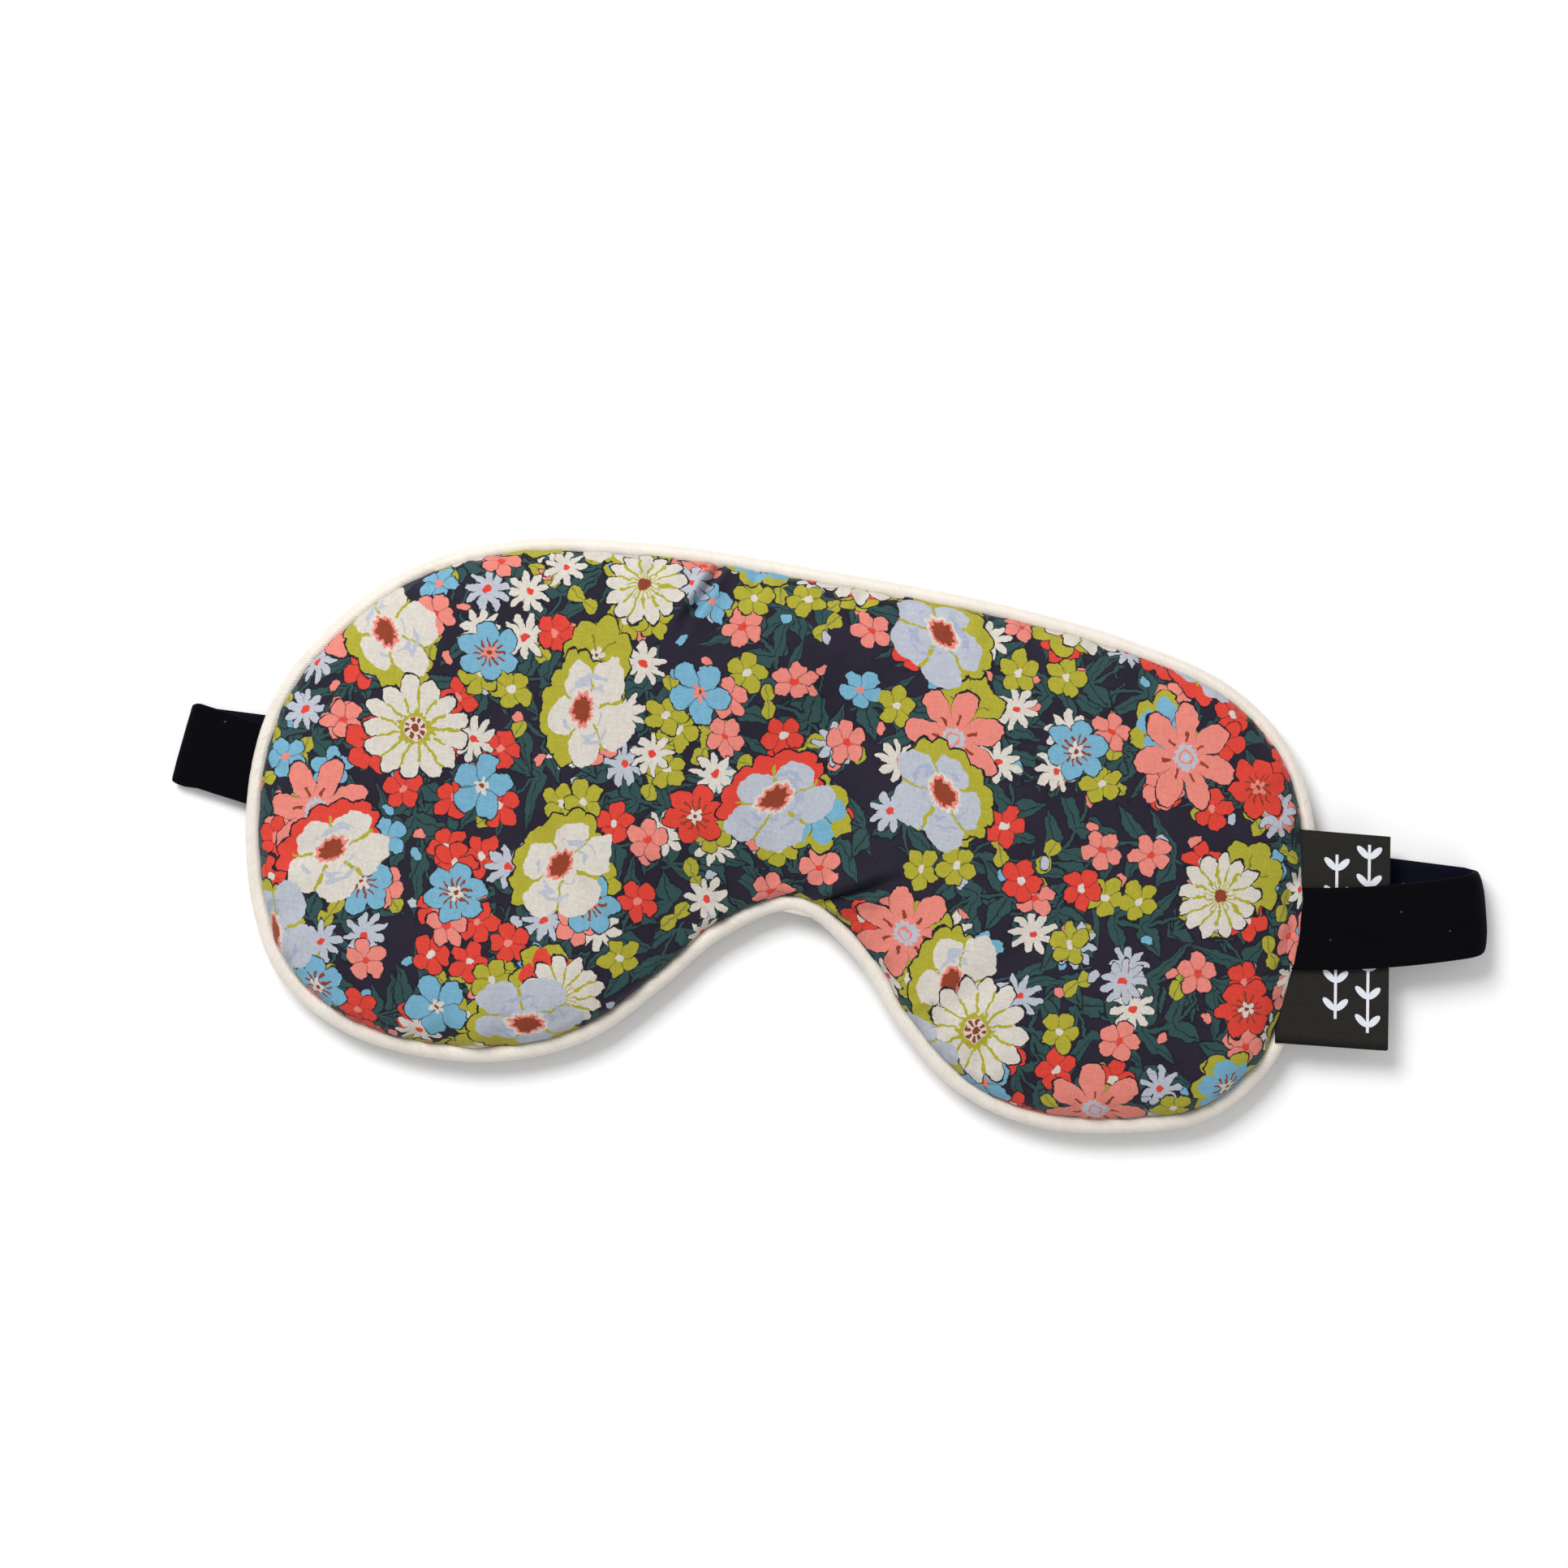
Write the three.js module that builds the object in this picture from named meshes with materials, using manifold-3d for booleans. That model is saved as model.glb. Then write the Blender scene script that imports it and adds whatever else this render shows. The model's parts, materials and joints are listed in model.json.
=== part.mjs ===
// Padded sleep mask with a piped edge, a sewn-in label and an elastic strap folded behind it.
// Millimetres. The mask lies on its back: +X along its width, +Y to the forehead edge, +Z out of its front.
import * as THREE from 'three';
import { mergeVertices } from 'three/addons/utils/BufferGeometryUtils.js';
import Module from 'manifold-3d';

const wasm = await Module();
wasm.setup();

// Cloth, padding and piping
const CLOTH = 0.45;              // cover, lining and binding cloth
const CLEAR = 0.25;              // space left between pieces that touch on the real mask
const PIPING_RADIUS = 1.7;
const PIPING_WALL = 0.35;
const CORD_RADIUS = 1.1;
const ALLOWANCE = 7;             // seam allowance turned inside the pad
const OUTLINE_STEPS = 60;

// Heights, from the table up: back run of strap, lining, left strap end, piping, label, right strap end
const STRAP_THICKNESS = 1.2;
const STRAP_WIDTH = 16;
const CHANNEL_TOP = STRAP_THICKNESS + CLEAR;
const LEFT_RUN_Z = CHANNEL_TOP + CLOTH + CLEAR + STRAP_THICKNESS / 2;
const SEAM_Z = LEFT_RUN_Z + STRAP_THICKNESS / 2 + CLEAR + PIPING_RADIUS;
const LABEL_THICKNESS = 0.7;
const LABEL_Z = SEAM_Z + PIPING_RADIUS + 0.2 + LABEL_THICKNESS / 2;
const RIGHT_RUN_Z = LABEL_Z + LABEL_THICKNESS / 2 + 0.2 + STRAP_THICKNESS / 2;
const BACK_RUN_Z = STRAP_THICKNESS / 2;
const CROWN_Z = 13.5;
const COVER_RIM = 15;            // how far in from its edge the front cover keeps rising
const LINING_RIM = 10;

// Strap in plan
const RIGHT_HINGE_X = 106.9;     // where the strap bends down outside the right seam
const RIGHT_FOLD_X = 132.9;      // centre of the rounded fold on the right
const LEFT_FOLD_X = -117.3;      // centre of the sharp fold on the left
const LEFT_HINGE_X = -104.6;     // where the strap bends under the piping at the left seam
const MIDDLE_X = 7.8;            // middle of the back run
const BACK_SLOPE = Math.tan(THREE.MathUtils.degToRad(2.25));
const BACK_Y = 2.7;              // middle line of the back run where x is 0
const RIGHT_SLOPE = Math.tan(THREE.MathUtils.degToRad(13.8));
const RIGHT_ROOT_Y = -0.9;       // middle line of the strap where it leaves the right seam
const LEFT_SLOPE = Math.tan(THREE.MathUtils.degToRad(-3.2));
const LEFT_ROOT_Y = -2.7;
const CUT = 0.3;                 // cut between two strap pieces that turn against each other
const LEFT_CLEARANCE = 1.5;      // room at the left seam, where the strap's loop closes without a joint

// Label in plan
const LABEL_LENGTH = 41;
const LABEL_FOLD_X = 119;
const LABEL_Y = -2;
const LABEL_LEAN = -0.11;        // the label's lower end leans outward

// Outer edge of the piping, anticlockwise from the right-hand seam
const OUTLINE = [
  [105.6, -6], [103.2, 15], [95.2, 32.5], [81.5, 43.2], [61, 48.7], [35, 51.6],
  [0, 52.5], [-35, 52.1], [-62, 48.2], [-81, 39.3], [-94.2, 26], [-102.4, 11.5],
  [-105, -5], [-101.2, -28], [-93, -43.3], [-79, -51.8], [-62, -54.2], [-45, -52],
  [-30, -44.8], [-18, -32.5], [-8.7, -21.7], [4.3, -14.2], [17.3, -21.1], [28, -33],
  [42, -43.9], [58, -47.9], [76, -46.1], [91.5, -40.6], [102.2, -27],
];

// ---- outline helpers ----

function edgeCurve() {
  const points = OUTLINE.map(([x, y]) => new THREE.Vector3(x, y, 0));
  return new THREE.CatmullRomCurve3(points, true, 'centripetal');
}

// Points a given distance inside the outer edge of the piping, starting at a fraction of the way round
function insetPoints(inset, from = 0, to = 1) {
  const curve = edgeCurve();
  const points = [];
  for (let i = 0; i <= OUTLINE_STEPS; i += 1) {
    const u = from + (to - from) * (i / OUTLINE_STEPS);
    const along = curve.getTangentAt(u);
    const inward = new THREE.Vector3(-along.y, along.x, 0);
    points.push(curve.getPointAt(u).addScaledVector(inward, inset));
  }
  return points;
}

function insetShape(inset) {
  const points = insetPoints(inset).slice(0, -1);
  return new THREE.Shape(points.map((p) => new THREE.Vector2(p.x, p.y)));
}

// An open route round the edge with its two ends a small join apart
function edgeRoute(inset, z, join) {
  const length = edgeCurve().getLength();
  const points = insetPoints(inset, join / length, 1 - join / length);
  points.forEach((p) => { p.z = z; });
  return new THREE.CatmullRomCurve3(points, false, 'centripetal');
}

// ---- solid helpers ----

function toManifold(geometry) {
  const plain = geometry.clone();
  plain.deleteAttribute('normal');
  plain.deleteAttribute('uv');
  const welded = mergeVertices(plain, 1e-4);
  const mesh = new wasm.Mesh({
    numProp: 3,
    vertProperties: new Float32Array(welded.attributes.position.array),
    triVerts: new Uint32Array(welded.index.array),
  });
  return new wasm.Manifold(mesh);
}

function toGeometry(solid) {
  const mesh = solid.getMesh();
  const geometry = new THREE.BufferGeometry();
  geometry.setAttribute('position', new THREE.BufferAttribute(new Float32Array(mesh.vertProperties), 3));
  geometry.setIndex(new THREE.BufferAttribute(new Uint32Array(mesh.triVerts), 1));
  geometry.computeVertexNormals();
  return geometry;
}

function block(x0, x1, y0, y1, z0, z1) {
  const geometry = new THREE.BoxGeometry(x1 - x0, y1 - y0, z1 - z0);
  geometry.translate((x0 + x1) / 2, (y0 + y1) / 2, (z0 + z1) / 2);
  return geometry;
}

// Slides every point along Y in proportion to its X, so that a straight run lies at a slant in plan
function slant(geometry, slope, y, x = 0) {
  const shear = new THREE.Matrix4().set(1, 0, 0, 0, slope, 1, 0, y - slope * x, 0, 0, 1, 0, 0, 0, 0, 1);
  return geometry.applyMatrix4(shear);
}

function plate(inset, z0, z1) {
  const geometry = new THREE.ExtrudeGeometry(insetShape(inset), { depth: z1 - z0, bevelEnabled: false });
  return geometry.translate(0, 0, z0);
}

// Half of a pillow with an elliptical rim, cut off level: the part above the cut (side 1) or below it (-1)
function halfPillow(side, inset, rim, height, middle, cut) {
  const wall = 0.2;
  const geometry = new THREE.ExtrudeGeometry(insetShape(inset), {
    depth: wall,
    bevelThickness: height - wall / 2,
    bevelSize: rim,
    bevelOffset: -rim,
    bevelSegments: side > 0 ? 4 : 3,
  });
  geometry.translate(0, 0, middle - wall / 2);
  const far = 200;
  const keep = block(-far, far, -far, far, side > 0 ? cut : -far, side > 0 ? far : cut);
  return toManifold(geometry).intersect(toManifold(keep));
}

// ---- places where the strap and label pass through the seam ----

function strapPassRight() {
  const half = STRAP_WIDTH / 2 + 0.6;
  const z0 = RIGHT_RUN_Z - STRAP_THICKNESS / 2 - CLEAR;
  const z1 = RIGHT_RUN_Z + STRAP_THICKNESS / 2 + CLEAR;
  return toManifold(slant(block(95, 112, -half, half, z0, z1), RIGHT_SLOPE, RIGHT_ROOT_Y, 103));
}

function labelPass() {
  const half = LABEL_LENGTH / 2 + 0.5;
  const z0 = LABEL_Z - LABEL_THICKNESS / 2 - 0.2;
  const z1 = RIGHT_RUN_Z - STRAP_THICKNESS / 2 - 0.1;
  return toManifold(block(94, 112, LABEL_Y - half, LABEL_Y + half, z0, z1));
}

function strapPassLeft() {
  const half = STRAP_WIDTH / 2 + 0.5;
  const z0 = LEFT_RUN_Z - STRAP_THICKNESS / 2 - 0.2;
  const z1 = LEFT_RUN_Z + STRAP_THICKNESS / 2 + CLEAR;
  return toManifold(slant(block(-112, -95, -half, half, z0, z1), LEFT_SLOPE, LEFT_ROOT_Y, -104));
}

// The tunnel that the back run of the strap presses into the underside
function channel(halfWidth, top) {
  return toManifold(slant(block(-130, 130, -halfWidth, halfWidth, -5, top), BACK_SLOPE, BACK_Y));
}

// ---- pad ----

const EDGE = 2 * PIPING_RADIUS + CLEAR;  // the cloth starts just inside the piping
const COVER_Z = SEAM_Z + CLOTH;
const LINING_Z = SEAM_Z - CLOTH;

function frontCover() {
  const height = CROWN_Z - COVER_Z;
  const outside = halfPillow(1, EDGE, COVER_RIM, height, COVER_Z, COVER_Z);
  const inside = halfPillow(1, EDGE + CLOTH, COVER_RIM - CLOTH, height - CLOTH, COVER_Z, COVER_Z + CLOTH);
  const mouth = toManifold(plate(EDGE + ALLOWANCE, COVER_Z - 1, COVER_Z + 1));
  const shell = outside.subtract(inside).subtract(mouth);
  return toGeometry(shell.subtract(strapPassRight()).subtract(labelPass()));
}

function frontWadding() {
  const skin = CLOTH + CLEAR;
  const height = CROWN_Z - COVER_Z - skin;
  const dome = halfPillow(1, EDGE + skin, COVER_RIM - skin, height, COVER_Z, COVER_Z + skin);
  const core = toManifold(plate(EDGE + ALLOWANCE + 0.8, SEAM_Z - 0.15, COVER_Z + 1.2));
  return toGeometry(dome.add(core).subtract(strapPassRight()).subtract(labelPass()));
}

function blackoutLayer() {
  return plate(EDGE + ALLOWANCE + 0.8, SEAM_Z - 0.8, SEAM_Z - 0.4);
}

function rearWadding() {
  const skin = CLOTH + CLEAR;
  const depth = LINING_Z - skin;
  const bowl = halfPillow(-1, EDGE + skin, LINING_RIM - skin, depth, LINING_Z, depth);
  const ridge = channel(STRAP_WIDTH / 2 + 0.7 + skin, CHANNEL_TOP + skin);
  return toGeometry(bowl.subtract(ridge).subtract(strapPassLeft()));
}

function backLining() {
  const outside = halfPillow(-1, EDGE, LINING_RIM, LINING_Z, LINING_Z, LINING_Z);
  const depth = LINING_Z - CLOTH;
  const inner = halfPillow(-1, EDGE + CLOTH, LINING_RIM - CLOTH, depth, LINING_Z, depth);
  const tunnel = channel(STRAP_WIDTH / 2 + 0.7, CHANNEL_TOP);
  const ridge = channel(STRAP_WIDTH / 2 + 0.7 + CLOTH, CHANNEL_TOP + CLOTH);
  const mouth = toManifold(plate(EDGE + ALLOWANCE, LINING_Z - 1, LINING_Z + 1));
  const shell = outside.subtract(tunnel).subtract(inner.subtract(ridge)).subtract(mouth);
  return toGeometry(shell.subtract(strapPassLeft()));
}

// ---- piped edge ----

// Bias binding wrapped round the cord, with its two edges laid together as the sewn flange
function pipingCover() {
  const flange = 0.2;
  const start = Math.asin(flange / PIPING_RADIUS);
  const section = new THREE.Shape();
  section.moveTo(-flange, ALLOWANCE - 1);
  section.absarc(0, 0, PIPING_RADIUS, Math.PI / 2 + start, Math.PI / 2 - start + 2 * Math.PI, false);
  section.lineTo(flange, ALLOWANCE - 1);
  section.closePath();
  const hollow = new THREE.Path();
  hollow.absarc(0, 0, PIPING_RADIUS - PIPING_WALL, 0, 2 * Math.PI, true);
  section.holes.push(hollow);
  return new THREE.ExtrudeGeometry(section, {
    steps: OUTLINE_STEPS,
    extrudePath: edgeRoute(PIPING_RADIUS, SEAM_Z, 0.2),
    curveSegments: 4,
  });
}

function roundSection(radius) {
  const section = new THREE.Shape();
  section.absarc(0, 0, radius, 0, 2 * Math.PI, false);
  return section;
}

function pipingCord() {
  return new THREE.ExtrudeGeometry(roundSection(CORD_RADIUS), {
    steps: OUTLINE_STEPS,
    extrudePath: edgeRoute(PIPING_RADIUS, SEAM_Z, 0.4),
    curveSegments: 3,
  });
}

// The line of machine stitching between the binding's flange and the front cover's seam allowance
function seamThread() {
  return new THREE.ExtrudeGeometry(roundSection(0.07), {
    steps: OUTLINE_STEPS,
    extrudePath: edgeRoute(EDGE + 1.4, (SEAM_Z + 0.2 + COVER_Z) / 2, 0.4),
    curveSegments: 2,
  });
}

// ---- elastic strap ----

// A flat length of strap between two X values, slanted in plan
function strapRun(x0, x1, z, slope, y, x) {
  const half = STRAP_WIDTH / 2 / Math.cos(Math.atan(slope));
  const geometry = block(x0, x1, -half, half, z - STRAP_THICKNESS / 2, z + STRAP_THICKNESS / 2);
  return slant(geometry, slope, y, x);
}

// A half turn of strap from an upper run down to a lower one, opening toward side -1 (left) or 1 (right)
function strapFold(x, side, upper, lower, slope, y) {
  const middle = (upper + lower) / 2;
  const outer = (upper - lower + STRAP_THICKNESS) / 2;
  const inner = outer - STRAP_THICKNESS;
  const section = new THREE.Shape();
  section.absarc(0, 0, outer, -Math.PI / 2, Math.PI / 2, false);
  section.absarc(0, 0, inner, Math.PI / 2, -Math.PI / 2, true);
  section.closePath();
  const geometry = new THREE.ExtrudeGeometry(section, {
    depth: STRAP_WIDTH,
    bevelEnabled: false,
    curveSegments: 6,
  });
  geometry.translate(0, 0, -STRAP_WIDTH / 2);
  geometry.rotateX(Math.PI / 2);
  if (side < 0) geometry.rotateZ(Math.PI);
  geometry.translate(x, 0, middle);
  return slant(geometry, slope, y, x);
}

const backY = (x) => BACK_Y + BACK_SLOPE * x;
const rightY = (x) => RIGHT_ROOT_Y + RIGHT_SLOPE * (x - 103);

function strapRightEnd() {
  return strapRun(96, RIGHT_HINGE_X - CUT, RIGHT_RUN_Z, RIGHT_SLOPE, RIGHT_ROOT_Y, 103);
}

function strapRightRun() {
  return strapRun(RIGHT_HINGE_X, RIGHT_FOLD_X - CUT, RIGHT_RUN_Z, RIGHT_SLOPE, RIGHT_ROOT_Y, 103);
}

function strapRightFold() {
  const slope = (RIGHT_SLOPE + BACK_SLOPE) / 2;
  const y = (rightY(RIGHT_FOLD_X) + backY(RIGHT_FOLD_X)) / 2;
  return strapFold(RIGHT_FOLD_X, 1, RIGHT_RUN_Z, BACK_RUN_Z, slope, y);
}

function strapBackRight() {
  return strapRun(MIDDLE_X + CUT / 2, RIGHT_FOLD_X - CUT, BACK_RUN_Z, BACK_SLOPE, BACK_Y, 0);
}

function strapBackLeft() {
  return strapRun(LEFT_FOLD_X + CUT, MIDDLE_X - CUT / 2, BACK_RUN_Z, BACK_SLOPE, BACK_Y, 0);
}

function strapLeftFold() {
  return strapFold(LEFT_FOLD_X, -1, LEFT_RUN_Z, BACK_RUN_Z, BACK_SLOPE, backY(LEFT_FOLD_X));
}

function strapLeftRun() {
  return strapRun(LEFT_FOLD_X + CUT, LEFT_HINGE_X - LEFT_CLEARANCE, LEFT_RUN_Z, LEFT_SLOPE, LEFT_ROOT_Y, -104);
}

function strapLeftEnd() {
  return strapRun(LEFT_HINGE_X + CUT, -96, LEFT_RUN_Z, LEFT_SLOPE, LEFT_ROOT_Y, -104);
}

// ---- label ----

function leanLabel(geometry) {
  const lean = new THREE.Matrix4().makeShear(0, 0, LABEL_LEAN, 0, 0, 0);
  return geometry.translate(0, -LABEL_Y, 0).applyMatrix4(lean).translate(0, LABEL_Y, 0);
}

// A woven tape folded in half, its fold on the outside
function labelTab() {
  const half = LABEL_THICKNESS / 2;
  const slit = 0.07;
  const x0 = RIGHT_HINGE_X + 2.6;
  const section = new THREE.Shape();
  section.moveTo(x0, -half);
  section.lineTo(LABEL_FOLD_X, -half);
  section.lineTo(LABEL_FOLD_X, half);
  section.lineTo(x0, half);
  section.lineTo(x0, slit);
  section.lineTo(LABEL_FOLD_X - half, slit);
  section.lineTo(LABEL_FOLD_X - half, -slit);
  section.lineTo(x0, -slit);
  section.closePath();
  const geometry = new THREE.ExtrudeGeometry(section, { depth: LABEL_LENGTH, bevelEnabled: false });
  geometry.translate(0, 0, -LABEL_LENGTH / 2);
  geometry.rotateX(Math.PI / 2);
  geometry.translate(0, LABEL_Y, LABEL_Z);
  return leanLabel(geometry);
}

function labelSeamEnd() {
  const half = LABEL_THICKNESS / 2;
  const y0 = LABEL_Y - LABEL_LENGTH / 2;
  return leanLabel(block(97, RIGHT_HINGE_X, y0, y0 + LABEL_LENGTH, LABEL_Z - half, LABEL_Z + half));
}

// ---- assembly ----

const NAVY = 0x1d2036;
const IVORY = 0xe9e6dd;
const BLACK = 0x15161a;
const GREY = 0x8d8d8a;

const mask = new THREE.Group();

function add(name, geometry, color, roughness) {
  const material = new THREE.MeshStandardMaterial({ color, roughness, metalness: 0 });
  const mesh = new THREE.Mesh(geometry, material);
  mesh.name = name;
  mask.add(mesh);
}

add('front_cover', frontCover(), NAVY, 0.85);
add('front_wadding', frontWadding(), 0xf2f0ea, 0.95);
add('blackout_layer', blackoutLayer(), BLACK, 0.9);
add('rear_wadding', rearWadding(), 0xf2f0ea, 0.95);
add('back_lining', backLining(), BLACK, 0.85);
add('piping_cover', pipingCover(), IVORY, 0.45);
add('piping_cord', pipingCord(), 0xf4f2ec, 0.9);
add('seam_thread', seamThread(), GREY, 0.7);
add('strap_right_end', strapRightEnd(), BLACK, 0.95);
add('strap_right_run', strapRightRun(), BLACK, 0.95);
add('strap_right_fold', strapRightFold(), BLACK, 0.95);
add('strap_back_right', strapBackRight(), BLACK, 0.95);
add('strap_back_left', strapBackLeft(), BLACK, 0.95);
add('strap_left_fold', strapLeftFold(), BLACK, 0.95);
add('strap_left_run', strapLeftRun(), BLACK, 0.95);
add('strap_left_end', strapLeftEnd(), BLACK, 0.95);
add('label', labelTab(), BLACK, 0.8);
add('label_seam_end', labelSeamEnd(), BLACK, 0.8);

// The origin is the middle of the underside of the whole mask, strap included
const bounds = new THREE.Box3().setFromObject(mask);
const centre = bounds.getCenter(new THREE.Vector3());
mask.position.set(-centre.x, -centre.y, -bounds.min.z);

export default mask;
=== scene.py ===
import json
import math

import bmesh
import bpy
import numpy as np
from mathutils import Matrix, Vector, geometry, kdtree, noise


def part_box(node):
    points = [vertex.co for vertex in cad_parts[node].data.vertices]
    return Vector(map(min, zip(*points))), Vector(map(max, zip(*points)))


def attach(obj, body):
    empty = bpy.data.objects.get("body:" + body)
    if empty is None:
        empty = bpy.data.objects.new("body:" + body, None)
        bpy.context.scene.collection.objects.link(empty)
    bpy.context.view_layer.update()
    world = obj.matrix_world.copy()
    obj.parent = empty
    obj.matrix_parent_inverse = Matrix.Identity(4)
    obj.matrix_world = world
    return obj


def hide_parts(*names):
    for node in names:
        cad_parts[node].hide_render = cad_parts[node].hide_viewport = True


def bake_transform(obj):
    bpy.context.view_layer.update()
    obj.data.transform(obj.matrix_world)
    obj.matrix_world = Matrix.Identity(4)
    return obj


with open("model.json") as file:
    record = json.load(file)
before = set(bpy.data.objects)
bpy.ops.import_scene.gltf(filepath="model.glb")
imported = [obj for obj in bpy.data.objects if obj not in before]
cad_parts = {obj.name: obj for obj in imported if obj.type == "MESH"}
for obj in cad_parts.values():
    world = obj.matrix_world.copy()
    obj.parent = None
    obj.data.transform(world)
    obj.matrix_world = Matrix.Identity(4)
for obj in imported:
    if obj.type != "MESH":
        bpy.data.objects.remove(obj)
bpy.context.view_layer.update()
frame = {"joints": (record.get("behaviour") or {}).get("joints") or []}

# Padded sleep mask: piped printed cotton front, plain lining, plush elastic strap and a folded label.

MM = 0.001

# ---------------------------------------------------------------- sizes, in mm in the row frame

# Outer edge of the piping, anticlockwise from the right-hand seam, as the CAD model draws it
OUTLINE = [
    (105.6, -6), (103.2, 15), (95.2, 32.5), (81.5, 43.2), (61, 48.7), (35, 51.6),
    (0, 52.5), (-35, 52.1), (-62, 48.2), (-81, 39.3), (-94.2, 26), (-102.4, 11.5),
    (-105, -5), (-101.2, -28), (-93, -43.3), (-79, -51.8), (-62, -54.2), (-45, -52),
    (-30, -44.8), (-18, -32.5), (-8.7, -21.7), (4.3, -14.2), (17.3, -21.1), (28, -33),
    (42, -43.9), (58, -47.9), (76, -46.1), (91.5, -40.6), (102.2, -27),
]


def mm_box(node):
    """Lowest and highest corner of a CAD node, in mm."""
    low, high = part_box(node)
    return np.array(low) / MM, np.array(high) / MM


def middle(node, axis):
    low, high = mm_box(node)
    return float(low[axis] + high[axis]) / 2


def plan_slope(node):
    """(slope in plan, y where x is 0) of the middle line of a flat strap node."""
    co = np.array([v.co for v in bpy.data.objects[node].data.vertices], float) / MM
    left = co[co[:, 0] < co[:, 0].min() + 0.1]
    right = co[co[:, 0] > co[:, 0].max() - 0.1]
    (x0, y0), (x1, y1) = left[:, :2].mean(0), right[:, :2].mean(0)
    slope = (y1 - y0) / (x1 - x0)
    return slope, y0 - slope * x0


def joint(name):
    """A hinge's point, in mm."""
    found = next(j for j in frame["joints"] if j["name"] == name)
    return np.array(found["pos_m"], float) / MM


PIPING_LOW, PIPING_HIGH = mm_box("piping_cover")
PIPING_R = (PIPING_HIGH[2] - PIPING_LOW[2]) / 2
SEAM_Z = middle("piping_cover", 2)
CROWN_Z = mm_box("front_cover")[1][2]
STRAP_T = mm_box("strap_back_right")[1][2]
LEFT_RUN_Z = middle("strap_left_run", 2)
RIGHT_RUN_Z = middle("strap_right_run", 2)
BACK_RUN_Z = STRAP_T / 2
LABEL_Z = middle("label", 2)
LABEL_Y = middle("label", 1)
LABEL_T = 0.7
LABEL_HALF = 20.5     # half of the label's length along the seam
STRAP_W = 16.0

RIGHT_HINGE = joint("strap_open")
RIGHT_FOLD = joint("right_fold_open")
LEFT_FOLD = joint("left_fold_open")
LEFT_HINGE_X = mm_box("strap_left_run")[1][0] + 1.5

RIGHT_LINE = plan_slope("strap_right_run")
BACK_LINE = plan_slope("strap_back_right")
LEFT_LINE = plan_slope("strap_left_run")

LINING_INSET = 2.6    # the lining's edge, tucked against the piping's side
COVER_RIM = 21.0      # how far in the front keeps rising
LINING_RIM = 12.0
STRAP_TOP = RIGHT_RUN_Z + STRAP_T / 2
LABEL_TOP = LABEL_Z + LABEL_T / 2


def line_y(line, x):
    return line[0] * x + line[1]


# ---------------------------------------------------------------- outline

class Edge:
    """The mask's outer edge as a dense closed line with its inward normals."""

    def __init__(self, step=0.4):
        dense = self.spline(np.array(OUTLINE, float), 80)
        gaps = np.linalg.norm(np.roll(dense, -1, 0) - dense, axis=1)
        along = np.concatenate([[0], np.cumsum(gaps)])
        self.length = along[-1]
        count = int(self.length / step)
        self.s = np.arange(count) * self.length / count
        closed = np.vstack([dense, dense[:1]])
        self.p = np.column_stack([np.interp(self.s, along, closed[:, k]) for k in (0, 1)])
        self.p += PIPING_LOW[:2] - self.p.min(0)
        tangent = np.roll(self.p, -3, 0) - np.roll(self.p, 3, 0)
        tangent /= np.linalg.norm(tangent, axis=1)[:, None]
        self.inward = np.column_stack([-tangent[:, 1], tangent[:, 0]])
        self.tree = kdtree.KDTree(count)
        for i, (x, y) in enumerate(self.p):
            self.tree.insert((x, y, 0), i)
        self.tree.balance()

    @staticmethod
    def spline(points, per_span):
        """A closed centripetal Catmull-Rom curve through the points."""
        out = []
        n = len(points)
        for i in range(n):
            p0, p1, p2, p3 = (points[(i + k) % n] for k in (-1, 0, 1, 2))
            t1 = math.sqrt(np.linalg.norm(p1 - p0))
            t2 = t1 + math.sqrt(np.linalg.norm(p2 - p1))
            t3 = t2 + math.sqrt(np.linalg.norm(p3 - p2))
            t = np.linspace(t1, t2, per_span, endpoint=False)[:, None]
            a1 = (t1 - t) / t1 * p0 + t / t1 * p1
            a2 = (t2 - t) / (t2 - t1) * p1 + (t - t1) / (t2 - t1) * p2
            a3 = (t3 - t) / (t3 - t2) * p2 + (t - t2) / (t3 - t2) * p3
            b1 = (t2 - t) / t2 * a1 + t / t2 * a2
            b2 = (t3 - t) / (t3 - t1) * a2 + (t - t1) / (t3 - t1) * a3
            out.append((t2 - t) / (t2 - t1) * b1 + (t - t1) / (t2 - t1) * b2)
        return np.vstack(out)

    def inset(self, distance):
        return self.p + self.inward * distance

    def depth(self, x, y):
        """How far inside the edge a point is (negative outside), and the index of the edge nearest to it."""
        _, i, _ = self.tree.find((x, y, 0))
        d = float((x - self.p[i, 0]) * self.inward[i, 0] + (y - self.p[i, 1]) * self.inward[i, 1])
        far = math.hypot(x - self.p[i, 0], y - self.p[i, 1])
        return math.copysign(far, d), i


EDGE = Edge()


# ---------------------------------------------------------------- mesh helpers

def smooth(t):
    t = min(max(t, 0.0), 1.0)
    return t * t * (3 - 2 * t)


def ripple(x, y, size, seed=0.0):
    """Soft noise from -1 to 1, with features about size mm across."""
    return noise.noise(Vector((x / size, y / size, seed)))


def make_object(name, verts, faces, uvs=None):
    """A mesh object from points in mm, with an optional UV for each vertex."""
    mesh = bpy.data.meshes.new(name)
    mesh.from_pydata([tuple(c * MM for c in v) for v in verts], [], faces)
    if uvs is not None:
        layer = mesh.uv_layers.new(name="Cloth")
        for loop in mesh.loops:
            layer.data[loop.index].uv = uvs[loop.vertex_index]
    mesh.polygons.foreach_set("use_smooth", [True] * len(mesh.polygons))
    obj = bpy.data.objects.new(name, mesh)
    bpy.context.scene.collection.objects.link(obj)
    return obj


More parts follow.
